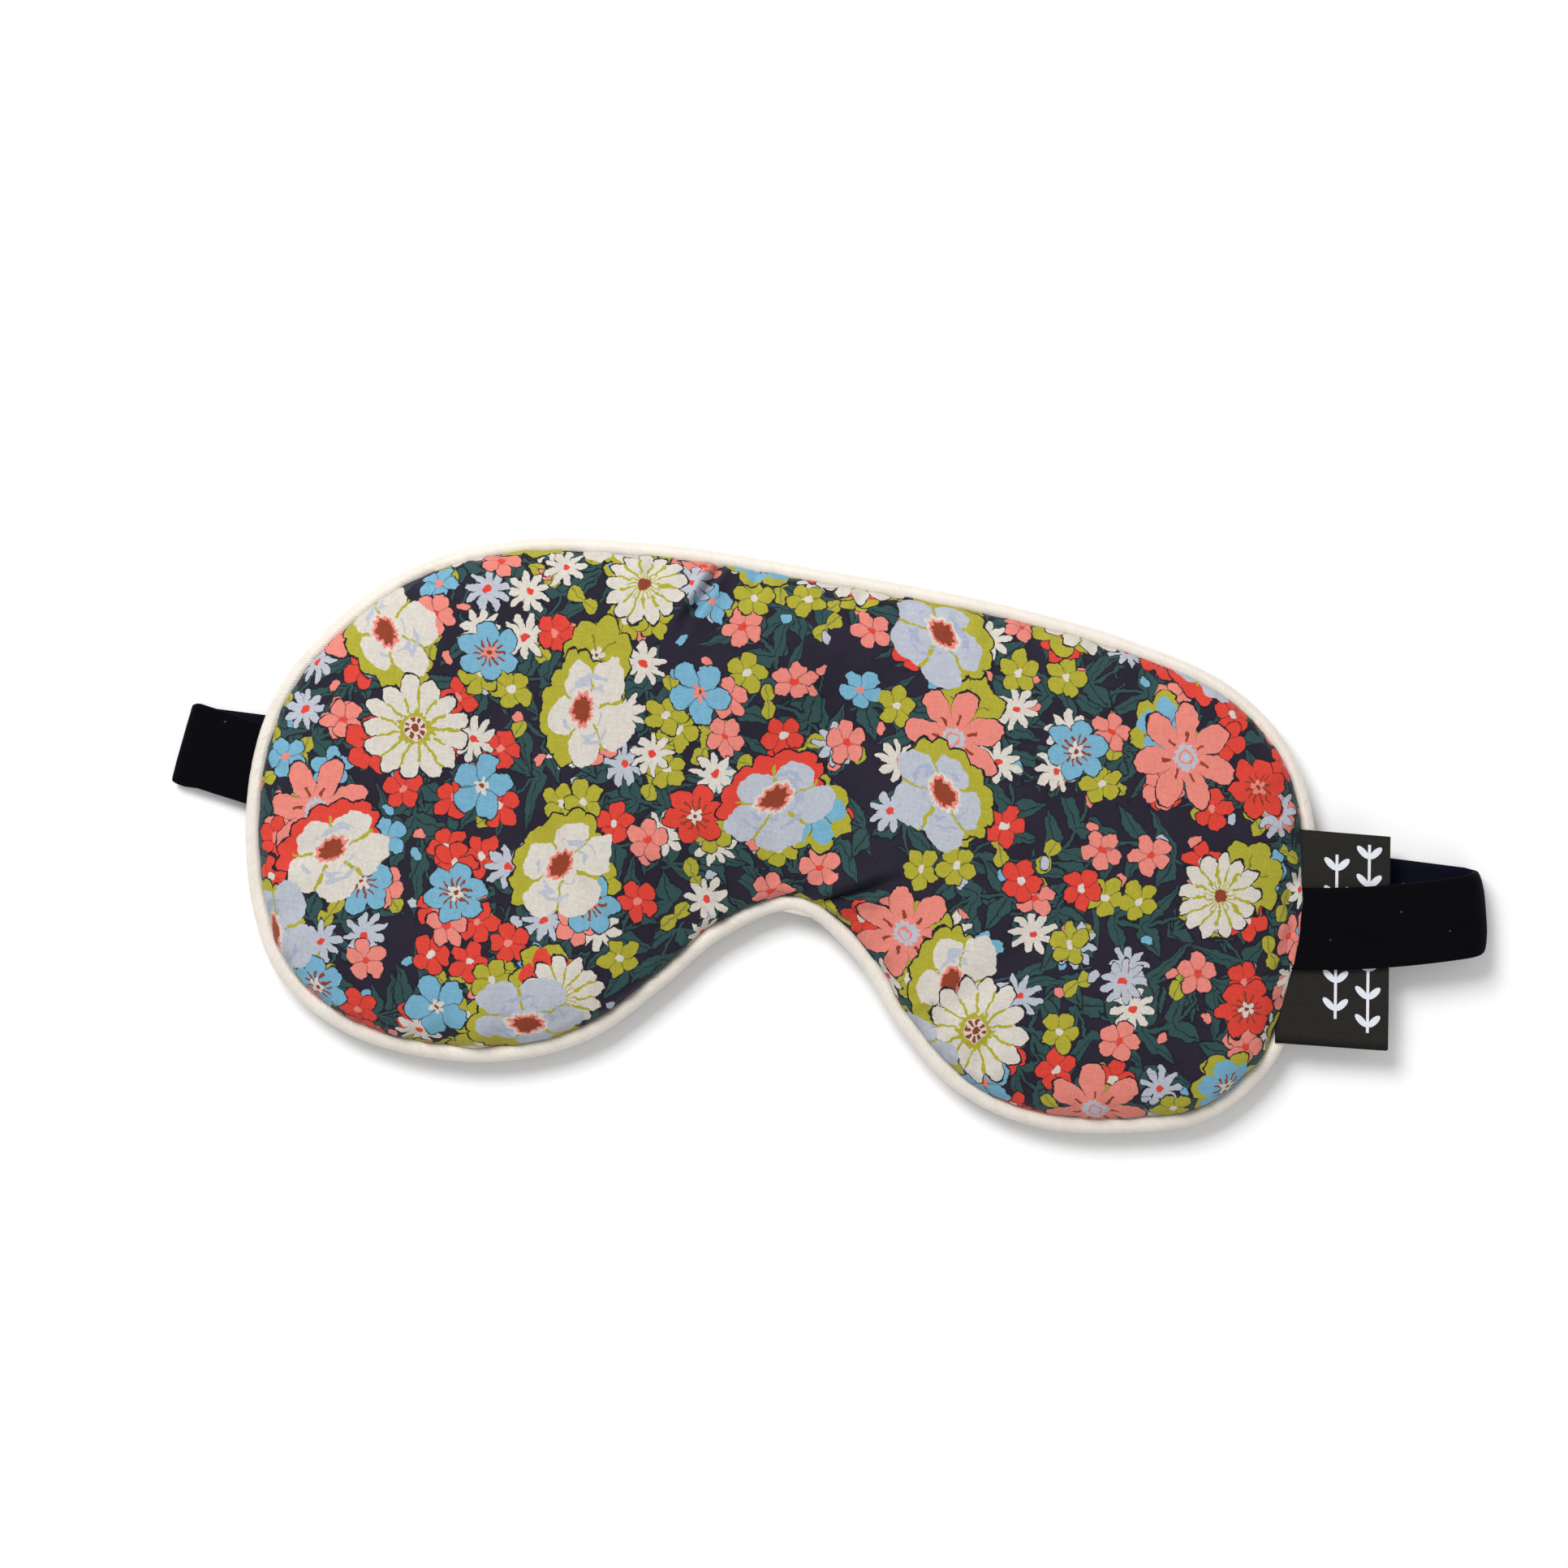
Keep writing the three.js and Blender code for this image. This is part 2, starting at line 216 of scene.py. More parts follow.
def apply_modifiers(obj):
    graph = bpy.context.evaluated_depsgraph_get()
    mesh = bpy.data.meshes.new_from_object(obj.evaluated_get(graph))
    obj.modifiers.clear()
    obj.data = mesh


def flat_cloth(insets, spacing, creases=(), fine_depth=10.0):
    """Points and triangles of a flat piece of cloth, its edge set in from the outline by insets.

    The points lie closest together near the edge and along the creases, where the cloth bends most.
    """
    rim = (EDGE.p + EDGE.inward * insets[:, None])[::3]
    count = len(rim)
    points = [Vector(p) for p in rim]
    points += [Vector(p) for p in crease_points(creases, insets)]
    low, high = rim.min(0), rim.max(0)
    rows = int((high[1] - low[1]) / (spacing * math.sqrt(3) / 2))
    columns = int((high[0] - low[0]) / spacing) + 1
    for row in range(rows + 1):
        for column in range(columns):
            x = low[0] + spacing * (column + (0.5 if row % 2 else 0.0))
            y = low[1] + spacing * row * math.sqrt(3) / 2
            coarse = row % 2 == 0 and (column + row // 2) % 2 == 0
            depth, i = EDGE.depth(x, y)
            if depth < insets[i] + 0.75 * spacing or (depth > fine_depth and not coarse):
                continue
            if not on_crease(x, y, creases):
                points.append(Vector((x, y)))
    border = [(i, (i + 1) % count) for i in range(count)]
    verts, _, faces, _, _, _ = geometry.delaunay_2d_cdt(points, border, [], 1, 1e-5)
    return np.array([tuple(v) for v in verts]), [list(f) for f in faces]


def crease_line(start, end):
    """A crease's first point, length and direction, in the row frame."""
    a, b = np.array(start) + DRAWING, np.array(end) + DRAWING
    length = float(np.hypot(*(b - a)))
    return a, length, (b - a) / length


def crease_points(creases, insets):
    """Lines of points along each crease, close enough to carry its folds."""
    found = []
    for start, end, _, width in creases:
        a, length, along = crease_line(start, end)
        side = np.array([-along[1], along[0]])
        for step in np.arange(-1.0, length * 1.25, 1.3):
            for off in (-2.6, -1.7, -0.9, 0.0, 0.9, 1.7, 2.6):
                p = a + along * step + side * off * width
                depth, i = EDGE.depth(*p)
                if depth > insets[i] + 0.8:
                    found.append(p)
    return found


def on_crease(x, y, creases):
    """Whether a point lies among a crease's own points."""
    for start, end, _, width in creases:
        a, length, (dx, dy) = crease_line(start, end)
        step = (x - a[0]) * dx + (y - a[1]) * dy
        off = abs(dx * (y - a[1]) - dy * (x - a[0]))
        if -1.8 < step < length * 1.25 + 0.8 and off < 3.2 * width:
            return True
    return False


def sweep(name, stations, section):
    """A solid with one section carried along stations, in mm, and closed at both ends."""
    verts, uvs, faces = [], [], []
    size = len(section)
    around = [0.0]
    for a, b in zip(section, section[1:]):
        around.append(around[-1] + math.dist(a, b))
    travelled = 0.0
    previous = None
    widest = max(w for w, _ in section)
    for centre, across, up, pull, thin in stations:
        if previous is not None:
            travelled += float(np.linalg.norm(centre - previous))
        previous = centre
        for (w, t), a in zip(section, around):
            verts.append(centre + across * w + up * t * thin + pull * (w / widest) ** 4)
            uvs.append((travelled / 100, a / 100))
    rings = len(stations)
    for i in range(rings - 1):
        j = i + 1
        for k in range(size):
            m = (k + 1) % size
            faces.append((i * size + k, j * size + k, j * size + m, i * size + m))
    faces.append(tuple(range(size)))
    faces.append(tuple((rings - 1) * size + k for k in reversed(range(size))))
    obj = make_object(name, verts, faces, uvs)
    fix_normals(obj)
    sharpen_ends(obj)
    return obj


def sharpen_ends(obj):
    """Keeps the cut ends of a swept solid flat, with hard edges."""
    ends = [p for p in obj.data.polygons if len(p.vertices) > 4]
    around = {tuple(sorted(key)) for p in ends for key in p.edge_keys}
    for p in ends:
        p.use_smooth = False
    for edge in obj.data.edges:
        edge.use_edge_sharp = tuple(sorted(edge.vertices)) in around


def fix_normals(obj):
    work = bmesh.new()
    work.from_mesh(obj.data)
    bmesh.ops.recalc_face_normals(work, faces=work.faces)
    work.to_mesh(obj.data)
    work.free()


# ---------------------------------------------------------------- node helpers

class Field:
    """A number that varies over a surface: a socket in a node tree, with arithmetic."""

    def __init__(self, tree, socket):
        self.tree = tree
        self.socket = socket

    def math(self, operation, *others):
        node = self.tree.nodes.new("ShaderNodeMath")
        node.operation = operation
        for i, value in enumerate((self, *others)):
            plug(self.tree, value, node.inputs[i])
        return Field(self.tree, node.outputs[0])

    def __add__(self, other):
        return self.math("ADD", other)

    def __sub__(self, other):
        return self.math("SUBTRACT", other)

    def __mul__(self, other):
        return self.math("MULTIPLY", other)

    def __truediv__(self, other):
        return self.math("DIVIDE", other)

    def __gt__(self, other):
        return self.math("GREATER_THAN", other)

    def __lt__(self, other):
        return self.math("LESS_THAN", other)

    def __abs__(self):
        return self.math("ABSOLUTE")

    def __pow__(self, other):
        return self.math("POWER", other)

    def invert(self):
        return Field.constant(self.tree, 1.0) - self

    @staticmethod
    def constant(tree, value):
        node = tree.nodes.new("ShaderNodeValue")
        node.outputs[0].default_value = value
        return Field(tree, node.outputs[0])


def plug(tree, value, target):
    """Links a field or socket to an input, or sets the input to a plain value."""
    if isinstance(value, Field):
        tree.links.new(value.socket, target)
    elif isinstance(value, bpy.types.NodeSocket):
        tree.links.new(value, target)
    else:
        target.default_value = value


def clamp(field):
    node = field.tree.nodes.new("ShaderNodeClamp")
    plug(field.tree, field, node.inputs[0])
    return Field(field.tree, node.outputs[0])


def combine(tree, x, y, z=0.0):
    node = tree.nodes.new("ShaderNodeCombineXYZ")
    for value, target in zip((x, y, z), node.inputs):
        plug(tree, value, target)
    return node.outputs[0]


def noise_field(tree, x, y, size, detail=2.0, z=0.0):
    """Noise from 0 to 1 with features about size across."""
    node = tree.nodes.new("ShaderNodeTexNoise")
    node.noise_dimensions = "3D"
    plug(tree, combine(tree, x / size, y / size, z), node.inputs["Vector"])
    node.inputs["Scale"].default_value = 1.0
    node.inputs["Detail"].default_value = detail
    return Field(tree, node.outputs[0])


def mix_colour(tree, mask, under, over):
    node = tree.nodes.new("ShaderNodeMix")
    node.data_type = "RGBA"
    plug(tree, mask, node.inputs["Factor"])
    plug(tree, under, node.inputs[6])
    plug(tree, over, node.inputs[7])
    return node.outputs[2]


def pick(tree, value, colours):
    """One of the colours for each value from 0 to 1."""
    node = tree.nodes.new("ShaderNodeValToRGB")
    ramp = node.color_ramp
    ramp.interpolation = "CONSTANT"
    ramp.elements[0].color = colours[0]
    ramp.elements[1].position = 1 / len(colours)
    ramp.elements[1].color = colours[1]
    for i, colour in enumerate(colours[2:], 2):
        ramp.elements.new(i / len(colours)).color = colour
    plug(tree, value, node.inputs[0])
    return node.outputs[0]


def srgb(r, g, b):
    """A linear colour from an sRGB one of 0 to 255."""
    def linear(c):
        c /= 255
        return c / 12.92 if c <= 0.04045 else ((c + 0.055) / 1.055) ** 2.4
    return (linear(r), linear(g), linear(b), 1.0)


def new_material(name, roughness, sheen=0.0, sheen_tint=(1, 1, 1, 1), sheen_roughness=0.4, specular=0.5):
    """A principled material with its even values set on their own sockets."""
    material = bpy.data.materials.new(name)
    material.use_nodes = True
    tree = material.node_tree
    shader = tree.nodes["Principled BSDF"]
    shader.inputs["Roughness"].default_value = roughness
    shader.inputs["Sheen Weight"].default_value = sheen
    shader.inputs["Sheen Tint"].default_value = sheen_tint
    shader.inputs["Sheen Roughness"].default_value = sheen_roughness
    shader.inputs["Specular IOR Level"].default_value = specular
    return material, tree, shader


def uv_mm(tree):
    """The cloth's own coordinates, in mm."""
    node = tree.nodes.new("ShaderNodeUVMap")
    node.uv_map = "Cloth"
    split = tree.nodes.new("ShaderNodeSeparateXYZ")
    tree.links.new(node.outputs[0], split.inputs[0])
    return Field(tree, split.outputs[0]) * 100.0, Field(tree, split.outputs[1]) * 100.0


def bump(tree, shader, height, distance):
    node = tree.nodes.new("ShaderNodeBump")
    node.inputs["Strength"].default_value = 1.0
    node.inputs["Distance"].default_value = distance * MM
    plug(tree, height, node.inputs["Height"])
    tree.links.new(node.outputs[0], shader.inputs["Normal"])


def weave_height(tree, x, y, pitch, seed=0.0):
    """A plain weave with uneven threads, from 0 to about 1."""
    turn = 2 * math.pi / pitch
    warp = noise_field(tree, x, y, 3.0, 1.0, seed) * 0.5
    over = (x * turn + warp).math("SINE") * (y * turn + warp).math("SINE")
    slub_x = noise_field(tree, x / 6.0, y, pitch * 1.2, 2.0, seed + 3)
    slub_y = noise_field(tree, x, y / 6.0, pitch * 1.2, 2.0, seed + 7)
    return over * 0.25 + slub_x * 0.5 + slub_y * 0.5


# ---------------------------------------------------------------- the floral print

NAVY = srgb(14, 12, 27)
AUBERGINE = srgb(38, 30, 52)
TEAL = srgb(40, 72, 72)
SKY = srgb(112, 166, 192)
RED = srgb(212, 60, 46)
CORAL = srgb(222, 128, 116)
LAVENDER = srgb(176, 181, 192)
GREY_BLUE = srgb(160, 168, 190)
CHARTREUSE = srgb(166, 160, 44)
RUST = srgb(136, 56, 30)
CREAM = srgb(207, 200, 190)


class Cells:
    """Scattered places on a cloth, each with its own turned coordinates in mm and three random numbers."""

    def __init__(self, tree, x, y, size, jitter, seed, squash=1.0):
        self.tree = tree
        node = tree.nodes.new("ShaderNodeTexVoronoi")
        node.voronoi_dimensions = "2D"
        node.inputs["Scale"].default_value = 1.0
        node.inputs["Randomness"].default_value = jitter
        px = x / size + seed
        py = y / size + seed * 1.7
        tree.links.new(combine(tree, px, py), node.inputs["Vector"])
        centre = tree.nodes.new("ShaderNodeSeparateXYZ")
        tree.links.new(node.outputs["Position"], centre.inputs[0])
        chance = tree.nodes.new("ShaderNodeSeparateColor")
        tree.links.new(node.outputs["Color"], chance.inputs[0])
        self.r1, self.r2, self.r3 = (Field(tree, chance.outputs[i]) for i in range(3))
        lx = (px - Field(tree, centre.outputs[0])) * size
        ly = (py - Field(tree, centre.outputs[1])) * size
        turn = self.r3 * (2 * math.pi)
        cosine, sine = turn.math("COSINE"), turn.math("SINE")
        self.u = lx * cosine + ly * sine
        self.v = (ly * cosine - lx * sine) * squash
        self.far = (self.u * self.u + self.v * self.v) ** 0.5
        self.angle = self.v.math("ARCTAN2", self.u)
        self.centre = (Field(tree, centre.outputs[0]) * size, Field(tree, centre.outputs[1]) * size)

    def patch(self, size, seed):
        """One value for each place, spread from 0 to 1 so that near places share it."""
        x, y = self.centre
        return clamp((noise_field(self.tree, x, y, size, 0.0, seed) - 0.5) * 2.8 + 0.5)

    def uneven(self, amount):
        """A hand-drawn unevenness that changes round the flower, about 1 on average."""
        away = self.far + 0.01
        x = self.u / away * 1.6 + self.r1 * 30.0
        y = self.v / away * 1.6
        return (noise_field(self.tree, x, y, 1.0, 1.0) - 0.5) * amount * 2 + 1.0

    def wave(self, count):
        return abs((self.angle * (count / 2)).math("COSINE"))

    def gap(self, count):
        """Distance in mm from the nearest line between two petals."""
        return abs((self.angle * (count / 2)).math("COSINE")) * self.far * (2 / count)

    def spine(self, count):
        """Distance in mm from the nearest petal's middle line."""
        return abs((self.angle * (count / 2)).math("SINE")) * self.far * (2 / count)

    def petals(self, radius, count, waist, round_off, rough=0.12):
        """How far inside a flower's outline a point is, in mm; below 0 is outside."""
        reach = (self.wave(count) ** round_off) * (1 - waist) + waist
        return reach * self.uneven(rough) * radius - self.far


class Print:
    """Flowers painted one layer over another on a cloth's coordinates."""

    SOFT = 0.16   # width over which one colour turns to the next, in mm

    def __init__(self, tree, x, y):
        self.tree = tree
        self.x = x + (noise_field(tree, x, y, 2.4, 4.0, 1.5) - 0.5) * 2.3
        self.y = y + (noise_field(tree, x, y, 2.4, 4.0, 9.5) - 0.5) * 2.3
        self.colour = mix_colour(tree, noise_field(tree, x, y, 9.0, 2.0, 4.0), NAVY, AUBERGINE)

    def cells(self, size, jitter, seed, squash=1.0):
        return Cells(self.tree, self.x, self.y, size, jitter, seed, squash)

    def mask(self, inside, grow=0.0):
        return clamp((inside + grow) / self.SOFT + 0.5)

    def paint(self, mask, colour):
        self.colour = mix_colour(self.tree, mask, self.colour, colour)

    def flower(self, inside, present, colour, outline=0.45):
        """A flower's body with a dark gap round it."""
        self.paint(self.mask(inside, outline) * present, NAVY)
        self.paint(self.mask(inside) * present, colour)


def paint_sprigs(art):
    """Leaf sprays: a bowed stem with pointed leaves on both sides."""
    for size, seed, bow in ((21.0, 3.1, 0.05), (17.0, 11.7, -0.05)):
        cell = art.cells(size, 0.7, seed)
        off = cell.v + cell.u * cell.u * bow
        side = abs(off)
        pitch = 6.0
        slot = ((cell.u - side * 0.65) / pitch).math("FRACT") - 0.5
        width = (side * -0.4 + 3.0).math("MINIMUM", side * 0.9 + 0.5).math("MINIMUM", 1.9)
        leaf = width - abs(slot) * pitch
        leaf = leaf.math("MINIMUM", abs(cell.u) * -1.0 + size * 0.5)
        stem = (side * -1.0 + 0.32).math("MINIMUM", abs(cell.u) * -1.0 + size * 0.58)
        inside = leaf.math("MAXIMUM", stem)
        art.flower(inside, inside > -1.0, TEAL, 0.35)
        vein = (abs(slot) < 0.022) * (leaf > 0.35)
        art.paint(vein * 0.8, NAVY)


def paint_buds(art):
    """Olive leaves in pairs, and loose coral and blue buds."""
    cell = art.cells(9.5, 0.8, 5.9, 1.0)
    inside = cell.petals(3.4, 2.0, 0.08, 1.8, 0.1)
    art.flower(inside, cell.r1 < 0.42, CHARTREUSE, 0.25)
    art.paint((cell.spine(2.0) < 0.16) * (inside > 0.2) * (cell.r1 < 0.42) * 0.5, TEAL)
    cell = art.cells(7.0, 0.85, 33.3, 1.5)
    inside = cell.uneven(0.2) * 1.25 - cell.far
    shade = pick(art.tree, cell.r2, [CORAL, LAVENDER, CORAL, SKY, CORAL])
    art.flower(inside, cell.r1 < 0.4, shade, 0.25)


def paint_blossoms(art, seed, size, present_below):
    """Small blossoms that keep to one colour in one place."""
    cell = art.cells(size, 0.5, seed, 1.12)
    place = cell.patch(20.0, seed * 2.0) * 0.8 + cell.r2 * 0.2
    spiky = place > 0.75
    round_one = cell.petals(4.2, 5.0, 0.54, 0.6, 0.16)
    star = cell.petals(4.6, 9.0, 0.4, 1.0, 0.2)
    inside = round_one * spiky.invert() + star * spiky
    present = cell.r1 < present_below
    shades = [RED, RED, RED, CORAL, CHARTREUSE, CHARTREUSE, CORAL, RED, SKY, LAVENDER, CREAM, CREAM]
    art.flower(inside, present, pick(art.tree, place, shades), 0.32)
    art.paint((cell.gap(5.0) < 0.13) * (cell.far < 2.6) * spiky.invert() * present * 0.45, NAVY)
    hearts = [CORAL, CREAM, CORAL, RED, CREAM, CREAM, RED, CREAM, CORAL, RED, RED, RED]
    heart = cell.uneven(0.2) * 0.78 - cell.far
    art.paint(art.mask(heart) * present, pick(art.tree, place, hearts))


def paint_stars(art, seed, present_below):
    """Middle-sized flowers: a body on an olive or dark ground, rust ticks and a pale star in the heart."""
    cell = art.cells(22.0, 0.5, seed, 1.1)
    six = cell.r3 > 0.45
    inside = cell.petals(6.4, 5.0, 0.5, 0.62) * six.invert() + cell.petals(6.2, 6.0, 0.6, 0.55) * six
    present = cell.r1 < present_below
    backed = present * (cell.r2 > 0.5)
    halo = cell.petals(7.6, 7.0, 0.74, 0.7, 0.16)
    art.flower(halo, backed, CHARTREUSE, 0.4)
    shades = pick(art.tree, cell.r2, [SKY, RED, SKY, RED, SKY, CHARTREUSE, RED, SKY])
    art.paint(art.mask(inside, 0.3) * present * backed.invert(), NAVY)
    art.paint(art.mask(inside) * present, shades)
    art.paint((cell.gap(5.0) < 0.16) * (cell.far < 4.6) * six.invert() * present * 0.5, NAVY)
    tick = (cell.spine(12.0) < 0.2) * (cell.far < cell.uneven(0.3) * 3.2) * (cell.far > 1.0)
    art.paint(tick * six * present, RUST)
    star = cell.petals(1.7, 5.0, 0.4, 1.0, 0.25)
    art.paint(art.mask(star) * present, pick(art.tree, cell.r2, [CREAM, CORAL, CREAM, CREAM, CORAL, CREAM]))
    art.paint((cell.far < 0.45) * present, RUST)


def paint_anemones(art, seed, present_below, body, shadow):
    """Large cupped flowers seen aslant, on a scalloped olive or red fringe that shows below them."""
    cell = art.cells(40.0, 0.5, seed, 1.35)
    present = cell.r1 < present_below
    lower = clamp(cell.v * -0.12 + 0.35)
    fringe = cell.petals(12.6, 15.0, 0.9, 0.8, 0.05) - lower.invert() * 3.4
    trim = pick(art.tree, cell.r2, [CHARTREUSE, CHARTREUSE, RED, CHARTREUSE])
    art.flower(fringe, present, trim, 0.5)
    cup = cell.petals(11.6, 5.0, 0.66, 0.62, 0.16) - lower * 1.7
    art.paint(art.mask(cup) * present, body)
    fold = (cell.gap(5.0) < cell.uneven(0.7) * 0.32) * (cell.far < 9.0) * (cell.far > 3.0)
    art.paint(fold * present, CHARTREUSE)
    brushed = noise_field(art.tree, cell.angle * 1.8 + cell.r1 * 9.0, cell.far, 2.2, 1.0)
    shade = (brushed > 0.56) * (cell.far < 7.0)
    art.paint(shade * (cell.far > 3.6) * present, shadow)
    sunk = cell.v + 1.4
    oval = (cell.u * cell.u * 0.6 + sunk * sunk * 0.9) ** 0.5
    edge = (cell.angle * 13.0).math("COSINE") * 0.22
    art.paint(art.mask(edge + 3.3 - oval) * present, CREAM)
    art.paint(art.mask(edge + 2.7 - oval) * present, CORAL)
    art.paint(art.mask(edge + 2.1 - oval) * present, RUST)


def paint_daisies(art, seed, present_below):
    """Large daisies: pale notched petals, olive streaks and an olive eye ringed with rust."""
    cell = art.cells(40.0, 0.5, seed, 1.08)
    present = cell.r1 < present_below
    big = cell.r2 > 0.5
    scale = big * 2.2 + 8.4
    far = cell.far / scale * 9.0
    reach = (cell.wave(13.0) ** 0.6) * 0.3 + 0.7
    inside = reach * cell.uneven(0.16) * scale - cell.far
    art.flower(inside, present, CREAM, 0.5)
    streak = (cell.gap(13.0) < 0.26) * (far > 3.0) * (far < cell.uneven(0.5) * 6.6)
    art.paint(streak * present, CHARTREUSE)
    eye = (cell.angle * 17.0).math("COSINE") * 0.3 + cell.uneven(0.3) * 2.9 - far
    art.paint(art.mask(eye) * present * big, CHARTREUSE)
    art.paint((far < 1.9) * present * big, CREAM)
    dots = ((cell.angle * 8.0).math("COSINE") > -0.2) * (abs(far - 1.35) < 0.42)
    art.paint(dots * present * big, RUST)
    heart = pick(art.tree, cell.r3, [RUST, CORAL, RUST, CORAL])
    rays = (cell.spine(19.0) < 0.12) * (far < 3.6) * big.invert()
    art.paint(rays * present, CHARTREUSE)
    art.paint(art.mask(cell.uneven(0.25) * 1.35 - far) * present * big.invert(), heart)
    art.paint((far < 0.7) * present * big, RUST)


def paint_open_blooms(art, seed, present_below):
    """Large flowers of seven separate coral petals round a pale heart."""
    cell = art.cells(40.0, 0.5, seed, 1.12)
    present = cell.r1 < present_below
    inside = cell.petals(10.6, 7.0, 0.3, 0.55, 0.14)
    art.flower(inside, present, CORAL, 0.45)
    tick = (cell.spine(7.0) < 0.3) * (cell.far < 4.9) * (cell.far > 3.1)
    art.paint(tick * present, RUST)
    heart = (cell.angle * 13.0).math("COSINE") * 0.22 + 2.5 - cell.far
    art.paint(art.mask(heart) * present, LAVENDER)
    art.paint((abs(cell.far - 1.3) < 0.24) * present, CORAL)


def printed_cotton():
    material, tree, shader = new_material("printed_cotton", 0.82, sheen=0.08, specular=0.3)
    x, y = uv_mm(tree)
    art = Print(tree, x, y)
    paint_sprigs(art)
    paint_buds(art)
    paint_blossoms(art, 17.3, 10.5, 0.8)
    paint_blossoms(art, 6.1, 12.0, 0.54)
    paint_stars(art, 29.4, 0.8)
    paint_open_blooms(art, 52.6, 0.5)
    paint_anemones(art, 63.4, 0.3, CREAM, LAVENDER)
    paint_daisies(art, 41.2, 0.54)
    paint_anemones(art, 77.7, 0.85, LAVENDER, GREY_BLUE)
    weave = weave_height(tree, x, y, 0.42)
    faded = noise_field(tree, x, y, 1.1, 3.0, 6.0) * 0.22 + 0.89
    grain = noise_field(tree, x, y, 0.45, 2.0, 15.0) * 0.36 + 0.82
    tone = (weave * 0.42 + 0.73) * faded * grain
    node = tree.nodes.new("ShaderNodeMix")
    node.data_type = "RGBA"
    node.blend_type = "MULTIPLY"
    node.inputs["Factor"].default_value = 1.0
    tree.links.new(art.colour, node.inputs[6])
    grey = combine(tree, tone, tone, tone)
    tree.links.new(grey, node.inputs[7])
    tree.links.new(node.outputs[2], shader.inputs["Base Color"])
    bump(tree, shader, weave, 0.09)
    return material


# ---------------------------------------------------------------- other materials

def lining_cloth():
    material, tree, shader = new_material("lining_cloth", 0.7, sheen=0.15, specular=0.35)
    x, y = uv_mm(tree)
    weave = weave_height(tree, x, y, 0.36, 30.0)
    tone = clamp(weave * 0.7 + noise_field(tree, x, y, 7.0, 3.0, 12.0) * 0.3)
    colour = mix_colour(tree, tone, srgb(24, 24, 36), srgb(44, 44, 60))
    tree.links.new(colour, shader.inputs["Base Color"])
    bump(tree, shader, weave, 0.06)
    return material


def piping_satin():
    """Bias-cut satin: its fine threads lie slantwise round the piping."""
    material, tree, shader = new_material("piping_satin", 0.36, sheen=0.2, specular=0.6)
    shader.inputs["Anisotropic"].default_value = 0.4
    x, y = uv_mm(tree)
    slant = x * 0.9 + y * 0.75
    across = y * 0.9 - x * 0.5
    threads = (slant * (2 * math.pi / 0.42) + noise_field(tree, x, y, 1.4, 2.0) * 3.0).math("SINE")
    slub = noise_field(tree, slant, across / 7.0, 0.36, 2.0, 8.0)
    height = threads * 0.35 + slub
    shade = clamp(noise_field(tree, x, y, 5.0, 3.0, 3.0) * 0.6 + slub * 0.6 - 0.1)
    colour = mix_colour(tree, shade, srgb(210, 201, 190), srgb(243, 235, 224))
    tree.links.new(colour, shader.inputs["Base Color"])
    bump(tree, shader, height, 0.07)
    return material


def plush(name, dark, light):
    """Short pile on woven elastic, with a few specks of lint."""
    material, tree, shader = new_material(
        name, 0.95, sheen=0.06, sheen_tint=srgb(90, 94, 150), sheen_roughness=0.4, specular=0.08
    )
    x, y = uv_mm(tree)
    pile = noise_field(tree, x, y, 0.32, 3.0)
    brushed = noise_field(tree, x / 5.0, y, 2.2, 3.0, 14.0)
    colour = mix_colour(tree, clamp(pile * 0.6 + brushed * 0.6 - 0.2), dark, light)
    lint = tree.nodes.new("ShaderNodeTexVoronoi")
    lint.voronoi_dimensions = "2D"
    lint.inputs["Scale"].default_value = 1.0
    wander = noise_field(tree, x, y, 1.2, 2.0, 5.0) * 1.2
    tree.links.new(combine(tree, (x + wander) / 13.0, y / 9.0), lint.inputs["Vector"])
    shown = noise_field(tree, x, y, 8.0, 1.0, 40.0) > 0.52
    speck = (Field(tree, lint.outputs["Distance"]) < 0.018) * shown
    colour = mix_colour(tree, speck * 0.3, colour, srgb(120, 120, 132))
    tree.links.new(colour, shader.inputs["Base Color"])
    bump(tree, shader, pile + brushed * 0.4, 0.12)
    return material


def label_tape():
    """Black satin tape with two rows of white woven leaf sprigs."""
    material, tree, shader = new_material("label_tape", 0.7, sheen=0.03, specular=0.2)
    x, y = uv_mm(tree)
    ribs = (y * (2 * math.pi / 0.3)).math("SINE") * 0.5 + 0.5
    grain = noise_field(tree, x / 5.0, y, 0.3, 2.0)
    colour = mix_colour(tree, clamp(grain * 0.8 + ribs * 0.2), srgb(12, 11, 10), srgb(40, 38, 33))
    white = mix_colour(tree, grain, srgb(196, 200, 212), srgb(236, 238, 244))
    pitch = 5.4
    for column, shift, foot, tip in ((-4.3, 0.0, -15.4, 16.2), (2.0, pitch / 2, -17.6, 18.6)):
        across = x - column
        along = ((y + shift) / pitch).math("FRACT") * pitch - pitch / 2
        side = abs(across)
        rise = along - side * 0.7
        leaf = Field.constant(tree, 0.95) - (rise * rise * 1.3 + (side - 1.25) * (side - 1.25) * 0.62)
        stem = side < 0.28
        inside = (y > foot) * (y < tip)
        art = clamp(leaf / 0.08).math("MAXIMUM", stem) * inside
        colour = mix_colour(tree, art, colour, white)
    tree.links.new(colour, shader.inputs["Base Color"])
    bump(tree, shader, grain + ribs * 0.3, 0.05)
    return material


